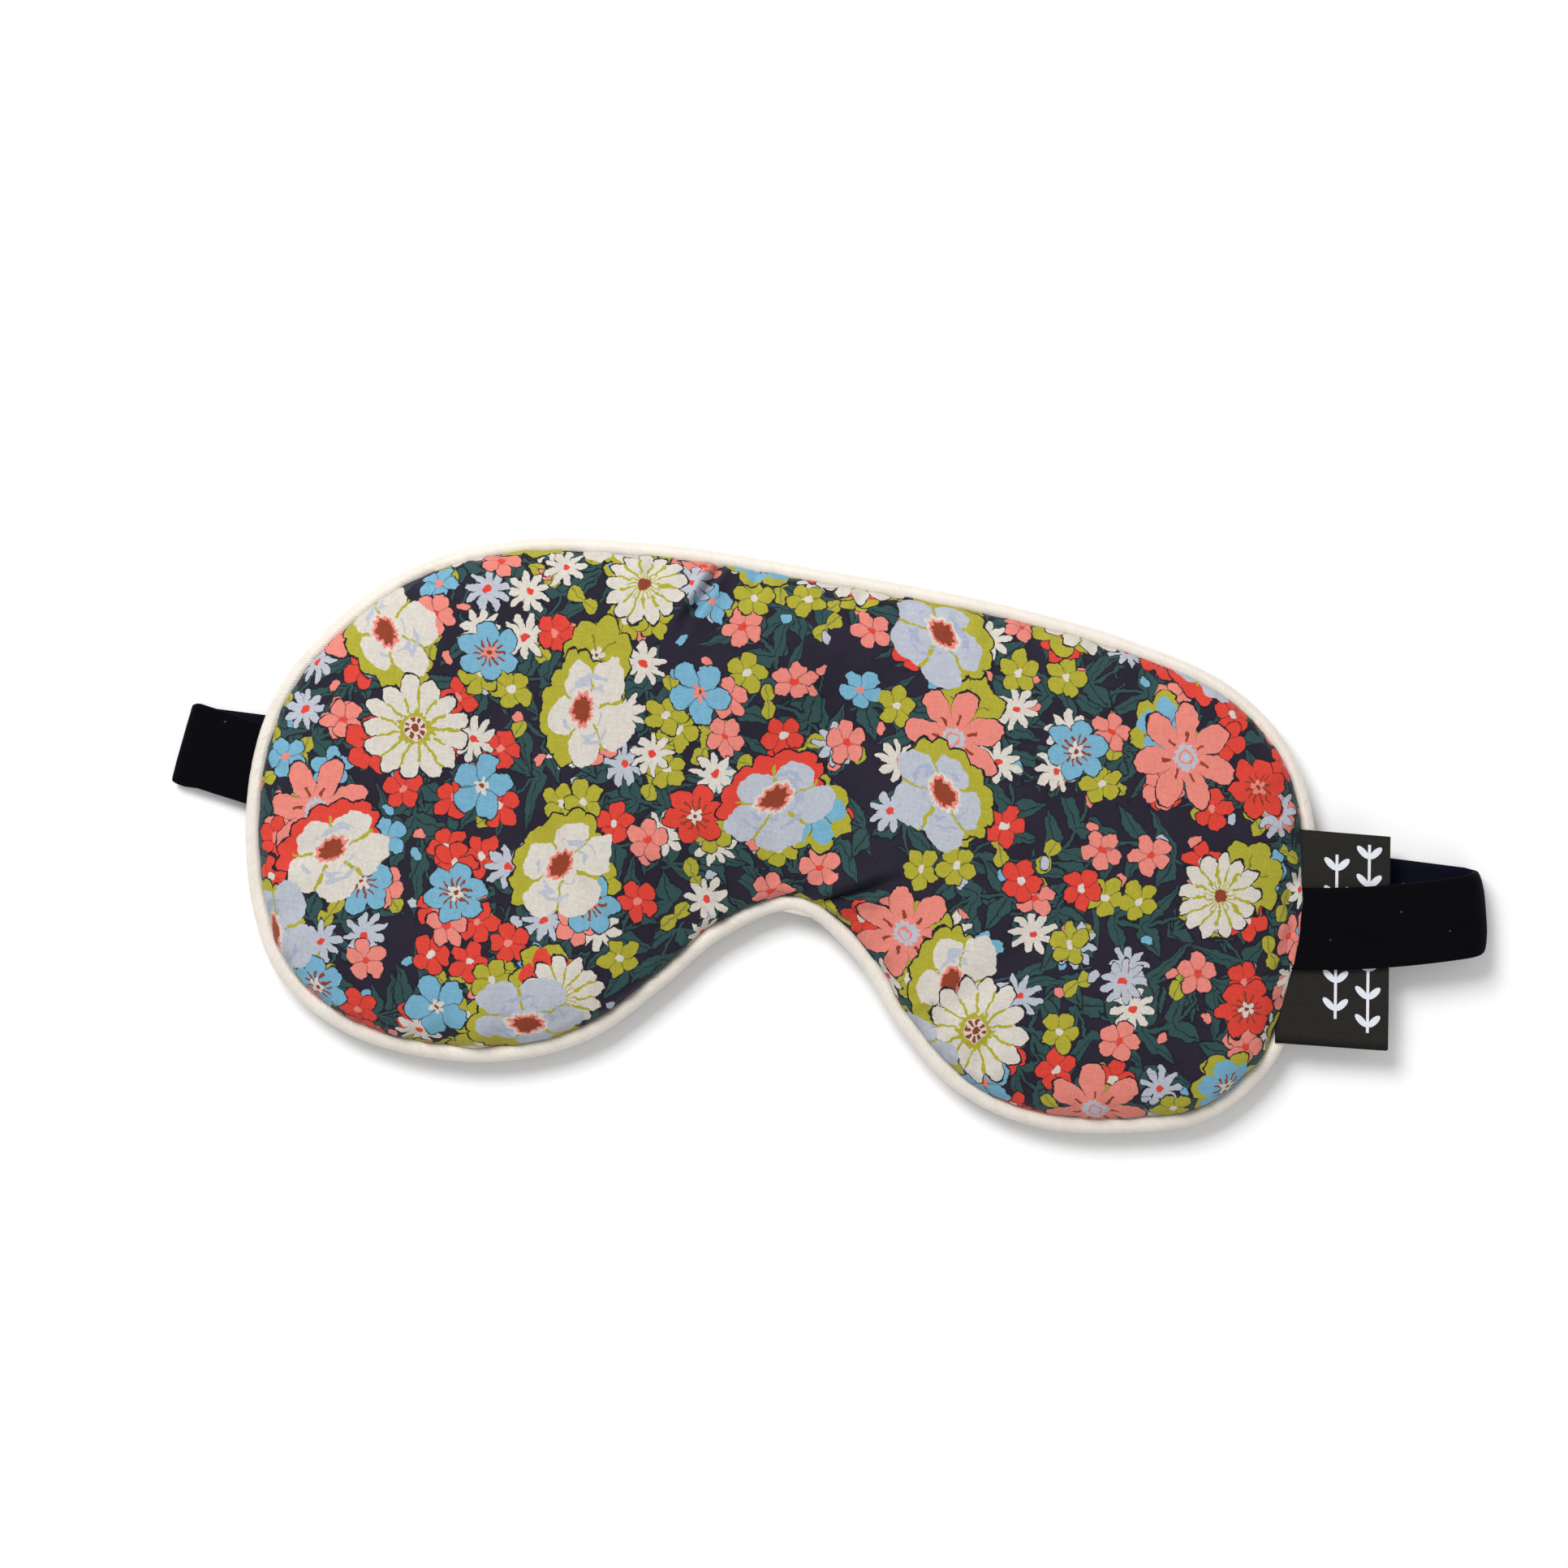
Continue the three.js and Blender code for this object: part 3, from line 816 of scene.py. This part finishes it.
def plain_cloth(name, colour, roughness, pitch):
    """A quiet woven or fibrous material for pieces inside the mask."""
    material, tree, shader = new_material(name, roughness)
    place = tree.nodes.new("ShaderNodeTexCoord")
    fibres = tree.nodes.new("ShaderNodeTexNoise")
    fibres.inputs["Scale"].default_value = 1 / (pitch * MM)
    tree.links.new(place.outputs["Object"], fibres.inputs["Vector"])
    darker = tuple(c * 0.7 for c in colour[:3]) + (1.0,)
    fibre = Field(tree, fibres.outputs[0])
    tree.links.new(mix_colour(tree, fibre, darker, colour), shader.inputs["Base Color"])
    bump(tree, shader, fibre, 0.1)
    return material


COTTON = printed_cotton()
LINING = lining_cloth()
SATIN = piping_satin()
PLUSH = plush("strap_plush", srgb(2, 2, 5), srgb(9, 9, 14))
PLUSH_INSIDE = plush("strap_inside", srgb(8, 8, 20), srgb(22, 22, 42))
TAPE = label_tape()


def finish_piece(obj, slot, *materials):
    for material in materials:
        obj.data.materials.append(material)


# ---------------------------------------------------------------- pad

# Creases pressed into the front: from, to (mm from the drawing's origin), depth and half-width
CREASES = [
    ((-20.5, 51.5), (-26.0, 36.0), 3.2, 0.85),
    ((-14.0, 51.5), (-12.5, 44.0), 1.0, 1.2),
    ((-32.0, 50.5), (-35.0, 44.0), 0.8, 1.2),
    ((8.0, 51.0), (6.0, 43.0), 0.8, 1.3),
    ((9.5, -11.2), (24.0, -4.2), 2.8, 0.9),
    ((44.0, -38.0), (48.0, -29.0), 0.7, 1.6),
    ((-46.0, -46.0), (-50.0, -36.0), 0.7, 1.6),
    ((0.5, -8.5), (-4.5, 0.5), 0.6, 1.7),
    ((-96.0, -20.0), (-84.0, -16.0), 0.5, 2.2),
    ((70.0, 44.0), (64.0, 35.0), 0.5, 2.0),
]
DRAWING = EDGE.p.min(0) - np.array(Edge.spline(np.array(OUTLINE, float), 80)).min(0)


def crease(x, y):
    """How deep the creases press in at a point."""
    total = 0.0
    x, y = x - DRAWING[0], y - DRAWING[1]
    for (ax, ay), (bx, by), depth, width in CREASES:
        dx, dy = bx - ax, by - ay
        length = math.hypot(dx, dy)
        t = ((x - ax) * dx + (y - ay) * dy) / length ** 2
        off = abs(dx * (y - ay) - dy * (x - ax)) / length
        if -0.3 < t < 1.3 and off < 6 * width:
            fade = smooth((t + 0.15) / 0.3) * smooth((1.15 - t) / 0.7)
            trough = math.exp(-(off / width) ** 2)
            lip = math.exp(-((off - 2.2 * width) / (1.2 * width)) ** 2)
            total += depth * fade * (trough - 0.35 * lip)
    return total


def pucker(d, s, seed):
    """Small gathers where the cloth is sewn to the piping: strongest near the seam."""
    fine = noise.noise(Vector((s / 2.3, 0.0, seed)))
    broad = noise.noise(Vector((s / 7.0, 4.0, seed)))
    return 0.95 * fine * math.exp(-d / 3.6) + 1.15 * broad * math.exp(-d / 9.0)


def near_seam(x, off):
    """1 close to the right-hand seam, fading with the distance off from the side of what is sewn there."""
    return smooth(1 - off / 3.0) * smooth((x - RIGHT_HINGE[0] + 12) / 4)


def near_strap(x, y):
    """1 where the right-hand strap end passes under the cloth's edge, 0 away from it."""
    return near_seam(x, abs(y - right_front(x)[0]) - STRAP_W / 2)


def near_label(x, y):
    """1 where the label passes under the cloth's edge, 0 away from it."""
    return near_seam(x, abs(y - LABEL_Y) - LABEL_HALF)


def dome(d, rim, round_off=2.0):
    t = min(max(d / rim, 0.0), 1.0)
    return (1 - (1 - t) ** round_off) ** (1 / round_off)


def rise_table(height, rim):
    """Extra cloth length that a dome's sloping edge takes up in plan, by depth from the seam."""
    depths = np.linspace(0, rim, 200)
    heights = np.array([height * dome(d, rim) for d in depths])
    arc = np.hypot(np.diff(depths), np.diff(heights))
    extra = np.concatenate([np.cumsum((arc - np.diff(depths))[::-1])[::-1], [0]])
    return depths, extra


def cover_insets():
    """Where the front's cloth ends over the piping: it shows more of the piping along the lower edges."""
    lower = np.array([smooth(0.5 + 0.5 * n[1]) for n in EDGE.inward])
    under_tab = np.array([near_label(x, y) for x, y in EDGE.p])
    waver = np.array([noise.noise(Vector((s / 5.5, 1.0, 8.0))) for s in EDGE.s])
    return 2.4 + 0.5 * lower + 0.9 * under_tab + 0.4 * waver


COVER_INSETS = cover_insets()


def edge_height(i):
    """Height of the cloth's edge where it rolls over the piping's shoulder."""
    across = COVER_INSETS[i] - PIPING_R
    return SEAM_Z + math.sqrt(max(PIPING_R ** 2 - across ** 2, 0.1)) + 0.3


def front_height(x, y, d, i):
    lobes = 1.0 - 0.14 * math.exp(-((x - 4.3 - DRAWING[0]) / 26) ** 2)
    base = edge_height(i)
    z = base + (CROWN_Z * lobes - base) * dome(d, COVER_RIM)
    z += 0.45 * ripple(x, y, 30, 2.0) * smooth(d / 12)
    z += pucker(d, EDGE.s[i], 0.0) * smooth(d / 0.8) - crease(x, y)
    return max(z, near_label(x, y) * (LABEL_TOP + 0.3), near_strap(x, y) * (STRAP_TOP + 0.3))


def rolled_rim(points, verts, uvs, faces):
    """Turns the cloth's edge down and in under itself, to the seam beside the piping."""
    count = len(EDGE.p[::3])
    ring = list(range(count))
    for inward, down in ((0.15, 0.45), (0.7, 0.9), (1.5, 1.5)):
        first = len(verts)
        for k in range(count):
            i = 3 * k
            x, y = points[k] + EDGE.inward[i] * inward
            verts.append((x, y, verts[k][2] - down))
            out = EDGE.inward[i] * (inward + down)
            uvs.append((uvs[k][0] - out[0] / 100, uvs[k][1] - out[1] / 100))
        new = list(range(first, first + count))
        for k in range(count):
            m = (k + 1) % count
            faces.append([ring[m], ring[k], new[k], new[m]])
        ring = new


def raise_cloth(points, insets, table, height):
    """Lifts flat cloth's points to their height, with UVs that allow for the length its slope takes up."""
    verts, uvs = [], []
    for x, y in points:
        depth, i = EDGE.depth(x, y)
        d = max(depth - insets[i], 0.0)
        verts.append((x, y, height(x, y, d, i)))
        shift = EDGE.inward[i] * np.interp(d, *table)
        uvs.append(((x - shift[0]) / 100, (y - shift[1]) / 100))
    return verts, uvs


def front_cover():
    points, faces = flat_cloth(COVER_INSETS, 1.35, CREASES)
    table = rise_table(CROWN_Z - SEAM_Z - PIPING_R, COVER_RIM)
    verts, uvs = raise_cloth(points, COVER_INSETS, table, front_height)
    rolled_rim(points, verts, uvs, faces)
    obj = make_object("front_cover_cloth", verts, faces, uvs)
    buckle(obj, len(points))
    thicken(obj, 0.45)
    finish_piece(obj, "printed_cotton", COTTON)
    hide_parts("front_cover", "front_wadding")
    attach(obj, "mask_pad")


HOLD = 0.04     # how firmly the wadding holds the cloth in place
SPARE = 0.03    # share by which the cloth is cut too large


def buckle(obj, body_count, frames=22, scale=10.0, most=0.9):
    """Lets slightly over-cut cloth buckle over its padding, with its edge held by the seam."""
    mesh = obj.data
    before = np.array([v.co for v in mesh.vertices])
    rim_count = len(EDGE.p[::3])
    for v in mesh.vertices:
        v.co = v.co * scale
    seam = obj.vertex_groups.new(name="seam")
    padding = list(range(rim_count, body_count))
    held = list(range(rim_count)) + list(range(body_count, len(mesh.vertices)))
    seam.add(held, 1.0, "REPLACE")
    seam.add(padding, HOLD, "REPLACE")
    cloth = obj.modifiers.new("Cloth", "CLOTH")
    settings = cloth.settings
    settings.quality = 6
    settings.mass = 0.1
    settings.air_damping = 3.0
    settings.tension_stiffness = 25
    settings.compression_stiffness = 25
    settings.shear_stiffness = 10
    settings.bending_stiffness = 0.3
    settings.vertex_group_mass = "seam"
    settings.pin_stiffness = 1.0
    settings.shrink_min = -SPARE
    settings.effector_weights.gravity = 0.0
    cloth.point_cache.frame_start = 1
    cloth.point_cache.frame_end = frames
    scene = bpy.context.scene
    for frame_number in range(1, frames + 1):
        scene.frame_set(frame_number)
    shaped = obj.evaluated_get(bpy.context.evaluated_depsgraph_get())
    after = np.array([v.co for v in shaped.data.vertices]) / scale
    obj.modifiers.clear()
    scene.frame_set(1)
    moved = after - before
    size = np.linalg.norm(moved, axis=1)
    limit = np.minimum(1.0, most * MM / np.maximum(size, 1e-9))
    final = before + moved * limit[:, None]
    for v, co in zip(mesh.vertices, final):
        v.co = co


def thicken(obj, thickness):
    """Rounds the cloth's facets and gives it a thickness inwards."""
    rounded = obj.modifiers.new("Rounded", "SUBSURF")
    rounded.levels = 1
    rounded.render_levels = 1
    shell = obj.modifiers.new("Shell", "SOLIDIFY")
    shell.thickness = thickness * MM
    shell.offset = -1
    apply_modifiers(obj)
    obj.data.polygons.foreach_set("use_smooth", [True] * len(obj.data.polygons))


def lining_height(x, y, d, i):
    bowl = SEAM_Z * (1 - dome(d, LINING_RIM))
    gather = pucker(d, EDGE.s[i], 50.0) * smooth(d / 0.8) * 0.7
    z = bowl + abs(gather) + 0.15 * abs(ripple(x, y, 18, 6.0))
    off = abs(y - line_y(BACK_LINE, x)) - STRAP_W / 2
    over_strap = (STRAP_T + 0.22) * smooth(1 - (off - 0.4) / 3.4)
    return max(z, over_strap)


def back_lining():
    insets = np.full(len(EDGE.p), LINING_INSET)
    points, faces = flat_cloth(insets, 1.8, (), 200.0)
    verts, uvs = raise_cloth(points, insets, rise_table(SEAM_Z, LINING_RIM), lining_height)
    obj = make_object("back_lining_cloth", verts, [f[::-1] for f in faces], uvs)
    thicken(obj, 0.4)
    finish_piece(obj, "lining_cloth", LINING)
    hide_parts("back_lining", "rear_wadding")
    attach(obj, "mask_pad")


def piping():
    """Satin binding drawn tight over its cord, with small slanting drag lines."""
    centre = EDGE.inset(PIPING_R)
    count = len(centre)
    around = 24
    verts, uvs, faces = [], [], []
    for i, (x, y) in enumerate(centre):
        s = EDGE.s[i]
        lift = 0.16 * noise.noise(Vector((s / 14.0, 7.0, 1.0)))
        for k in range(around):
            turn = 2 * math.pi * k / around
            drag = noise.noise(Vector(((s + turn * 1.6) / 1.6, turn * 0.7, 3.0)))
            r = PIPING_R + 0.06 * drag + 0.05 * noise.noise(Vector((s / 9.0, 2.0, 5.0)))
            out = -math.cos(turn) * r
            verts.append((
                x + EDGE.inward[i, 0] * out,
                y + EDGE.inward[i, 1] * out,
                SEAM_Z + lift + math.sin(turn) * r,
            ))
            uvs.append((s / 100, turn * PIPING_R / 100))
    for i in range(count):
        j = (i + 1) % count
        for k in range(around):
            m = (k + 1) % around
            faces.append((i * around + k, j * around + k, j * around + m, i * around + m))
    obj = make_object("piping_binding", verts, faces, uvs)
    fix_normals(obj)
    finish_piece(obj, "piping_satin", SATIN)
    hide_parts("piping_cover")
    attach(obj, "mask_pad")


# ---------------------------------------------------------------- strap

def strap_section(width=STRAP_W, thickness=STRAP_T):
    """Flat elastic with soft edges that stand a little thicker than its middle."""
    half_w, half_t = width / 2, thickness / 2
    top = [(-half_w + 0.25, half_t), (-half_w + 0.9, half_t * 1.04)]
    top += [(half_w * k / 4, half_t * 0.94) for k in range(-3, 4)]
    top += [(half_w - 0.9, half_t * 1.04), (half_w - 0.25, half_t)]
    right = [(half_w, half_t * 0.45), (half_w, -half_t * 0.45)]
    bottom = [(w, -t) for w, t in reversed(top)]
    left = [(-half_w, -half_t * 0.45), (-half_w, half_t * 0.45)]
    return top + right + bottom + left


def right_front(x):
    """(y, direction) of the front run on the right, which bows upwards towards its fold."""
    t = x - RIGHT_ROOT[0]
    return RIGHT_ROOT[1] + 0.15 * t + 0.003 * t * t, math.atan(0.15 + 0.0036 * t)


def left_front(x):
    """(y, direction) of the front run on the left, which ends square to the hinge at the seam."""
    return LEFT_ROOT[1] - 0.15 * (x - LEFT_ROOT[0]), -0.12 * smooth((LEFT_HINGE_X - x) / 8.0)


def back_run(x):
    return line_y(BACK_LINE, x), math.atan(BACK_LINE[0])


RIGHT_ROOT = (RIGHT_HINGE[0] - 3.9, line_y(RIGHT_LINE, RIGHT_HINGE[0] - 3.9) - 0.1)
LEFT_ROOT = (LEFT_HINGE_X, line_y(LEFT_LINE, LEFT_HINGE_X) - 0.6)


def station(x, z, path, face=1.0, thin=1.0):
    """A ring of the strap: centre, direction across, direction outwards, edge pull and thinning."""
    y, lean = path(x)
    across = np.array([-math.sin(lean), math.cos(lean), 0.0])
    return np.array([x, y, z]), across, np.array([0.0, 0.0, face]), np.zeros(3), thin


def run(x0, x1, z, path, face=1.0, step=2.0):
    """Stations along a level length of strap."""
    count = max(2, int(abs(x1 - x0) / step) + 1)
    return [station(x, z, path, face) for x in np.linspace(x0, x1, count)]


def round_end(x, z, path, side, face=1.0):
    """Stations that close a strap end in a half circle about its hinge."""
    angles = [math.radians(a) for a in (0, 25, 50, 72, 86)]
    return [station(x + side * STRAP_T / 2 * math.sin(a), z, path, face, math.cos(a)) for a in angles]


def turn_back(x, z_top, z_bottom, side, top, bottom, steps=20):
    """Stations round a half turn from an upper run to a lower one; side is 1 on the right, -1 on the left."""
    radius = (z_top - z_bottom) / 2
    (y_top, lean_top), (y_bottom, lean_bottom) = top(x), bottom(x)
    out = []
    for k in range(steps + 1):
        a = math.pi * k / steps
        share = k / steps
        late = smooth((share - 0.35) / 0.65)
        lean = lean_top * (1 - late) + lean_bottom * late
        along = np.array([math.cos(lean), math.sin(lean), 0.0]) * side
        across = np.array([-math.sin(lean), math.cos(lean), 0.0])
        base = np.array([x, y_top * (1 - share) + y_bottom * share, (z_top + z_bottom) / 2])
        up = along * math.sin(a) + np.array([0.0, 0.0, math.cos(a)])
        curl = along * (-0.3 * radius * math.sin(a) ** 2)
        out.append((base + up * radius, across, up, curl, 1.0))
    return out


INNER_FACE = (13, 23)   # points of the strap's section that lie on the side towards the loop


def paint_inside(obj, size):
    """Gives the strap's inner face, towards the loop, its own material."""
    first, last = INNER_FACE
    for polygon in obj.data.polygons:
        columns = sorted({v % size for v in polygon.vertices})
        if len(columns) == 2 and first <= columns[0] and columns[1] <= last:
            polygon.material_index = 1


def strap_piece(name, stations, nodes):
    section = strap_section()
    obj = sweep(name, stations, section)
    finish_piece(obj, "strap_elastic", PLUSH, PLUSH_INSIDE)
    paint_inside(obj, len(section))
    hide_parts(*nodes)
    return obj


def strap():
    right_x, left_x = RIGHT_FOLD[0] + 0.5, LEFT_FOLD[0] - 0.8
    right_mid = (RIGHT_HINGE[0] + right_x) / 2
    back_right_x, back_left_x = 90.0, -90.0

    root = strap_piece(
        "strap_right_root", run(RIGHT_HINGE[0] - 9.5, right_mid, RIGHT_RUN_Z, right_front, 1, 0.8),
        ("strap_right_end", "strap_right_run"),
    )
    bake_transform(root)

    stations = run(right_mid, right_x, RIGHT_RUN_Z, right_front, 1, 1.5)[:-1]
    stations += turn_back(right_x, RIGHT_RUN_Z, BACK_RUN_Z, 1, right_front, back_run)
    stations += run(right_x, back_right_x, BACK_RUN_Z, back_run, -1)[1:]
    fold = strap_piece("strap_right_turn", stations, ("strap_right_fold",))
    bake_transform(fold)

    back = strap_piece(
        "strap_back", run(back_right_x, back_left_x, BACK_RUN_Z, back_run, -1),
        ("strap_back_right", "strap_back_left"),
    )
    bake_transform(back)

    stations = run(back_left_x, left_x, BACK_RUN_Z, back_run, -1)[:-1]
    stations += turn_back(left_x, LEFT_RUN_Z, BACK_RUN_Z, -1, left_front, back_run)[::-1]
    stations += run(left_x, LEFT_HINGE_X, LEFT_RUN_Z, left_front, 1, 1.5)[1:-1]
    stations += round_end(LEFT_HINGE_X, LEFT_RUN_Z, left_front, 1)
    fold = strap_piece("strap_left_turn", stations, ("strap_left_fold", "strap_left_run"))
    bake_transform(fold)

    clear = LEFT_HINGE_X + STRAP_T / 2 + 0.05
    end = strap_piece(
        "strap_left_root", run(clear, LEFT_HINGE_X + 8, LEFT_RUN_Z, left_front), ("strap_left_end",)
    )
    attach(end, "mask_pad")


# ---------------------------------------------------------------- label

LABEL_X0 = RIGHT_HINGE[0] - 9.0    # the label's sewn end, inside the seam
LABEL_X1 = RIGHT_FOLD[0] - 13.4    # its folded end
LABEL_LEAN = -0.155                # mm that it leans outward for each mm down along the seam
LABEL_CLIMB = 0.085                # mm that it climbs along the seam for each mm outward
LABEL_STEPS = 14                   # spans along one layer
LABEL_ACROSS = 26                  # spans along the seam
LAYER_T = 0.3
HALF_GAP = 0.2                     # from the label's middle to the middle of one layer


def label_profile():
    """The folded tape from its side, as (x, height): front layer, fold and back layer."""
    length = LABEL_X1 - LABEL_X0
    front = [(LABEL_X0 + length * k / LABEL_STEPS, HALF_GAP) for k in range(LABEL_STEPS + 1)]
    angles = [math.pi * k / 8 for k in range(1, 8)]
    fold = [(LABEL_X1 + HALF_GAP * math.sin(a), HALF_GAP * math.cos(a)) for a in angles]
    back = [(LABEL_X1 - length * k / LABEL_STEPS, -HALF_GAP) for k in range(LABEL_STEPS + 1)]
    return front + fold + back


def label():
    """Woven tape folded in half on itself, its back layer a little lower than its front one."""
    profile = label_profile()
    print_middle = (LABEL_X0 + 9.0 + LABEL_X1) / 2
    verts, uvs, faces = [], [], []
    for i, (px, pz) in enumerate(profile):
        slip = -0.5 * (i / (len(profile) - 1)) * smooth((i - LABEL_STEPS) / 10)
        climb = 0.9 + LABEL_CLIMB * (px - LABEL_X1)
        for j in range(LABEL_ACROSS + 1):
            y = -LABEL_HALF + 2 * LABEL_HALF * j / LABEL_ACROSS
            sag = 0.12 * noise.noise(Vector((px / 9, y / 9, 1)))
            verts.append((px + LABEL_LEAN * y, LABEL_Y + y + slip + climb, LABEL_Z + pz + sag))
            uvs.append(((px - print_middle - 0.5) / 100, y / 100))
    width = LABEL_ACROSS + 1
    for i in range(len(profile) - 1):
        for j in range(LABEL_ACROSS):
            a = i * width + j
            faces.append((a, a + 1, a + width + 1, a + width))
    obj = make_object("label_tape_folded", verts, faces, uvs)
    fix_normals(obj)
    shell = obj.modifiers.new("Shell", "SOLIDIFY")
    shell.thickness = LAYER_T * MM
    shell.offset = 0
    apply_modifiers(obj)
    finish_piece(obj, "label_tape", TAPE)
    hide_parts("label", "label_seam_end")
    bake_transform(obj)


# ---------------------------------------------------------------- stage

def stage():
    bpy.ops.mesh.primitive_plane_add(size=6, location=(0, 0, -0.0002))
    floor = bpy.context.object
    floor.name = "floor"
    material, _, shader = new_material("pale_floor", 0.9)
    shader.inputs["Base Color"].default_value = (0.97, 0.97, 0.97, 1)
    floor.data.materials.append(material)

    world = bpy.data.worlds.new("studio")
    bpy.context.scene.world = world
    world.use_nodes = True
    world.node_tree.nodes["Background"].inputs[0].default_value = (1.0, 1.0, 1.0, 1)
    world.node_tree.nodes["Background"].inputs[1].default_value = 0.5

    for name, place, size, power in (
        ("key", (-0.5, 0.55, 0.95), 0.5, 11.5),
        ("fill", (0.9, -0.5, 1.0), 1.2, 2.5),
    ):
        light = bpy.data.lights.new(name, "AREA")
        light.size = size
        light.energy = power
        lamp = bpy.data.objects.new(name, light)
        lamp.location = place
        lamp.rotation_euler = Vector(place).to_track_quat("Z", "Y").to_euler()
        bpy.context.scene.collection.objects.link(lamp)


def camera():
    """Straight above, turned so that the mask lies as in the photograph."""
    turn = math.radians(9.5)
    shown_width = 306.6 * MM
    data = bpy.data.cameras.new("camera")
    data.lens = 85
    data.sensor_width = 36
    height = shown_width * data.lens / data.sensor_width
    view = bpy.data.objects.new("camera", data)
    up = Vector((-math.sin(turn), math.cos(turn), 0))
    centre = Vector((DRAWING[0] * MM, DRAWING[1] * MM, SEAM_Z * MM)) + up * 10.16 * MM
    view.location = centre + Vector((0, 0, height))
    view.rotation_euler = (0, 0, turn)
    bpy.context.scene.collection.objects.link(view)
    bpy.context.scene.camera = view
    bpy.context.scene.view_settings.view_transform = "Standard"


def inner_parts():
    """The CAD pieces that stay, hidden inside the mask, with materials of their own."""
    for node, material in (
        ("blackout_layer", plain_cloth("blackout_cloth", srgb(28, 28, 30), 0.9, 0.5)),
        ("piping_cord", plain_cloth("cotton_cord", srgb(236, 232, 222), 0.9, 0.6)),
        ("seam_thread", plain_cloth("sewing_thread", srgb(60, 60, 72), 0.6, 0.2)),
    ):
        slots = bpy.data.objects[node].material_slots
        if slots:
            slots[0].material = material
        else:
            bpy.data.objects[node].data.materials.append(material)


camera()
stage()
inner_parts()
front_cover()
back_lining()
piping()
strap()
label()
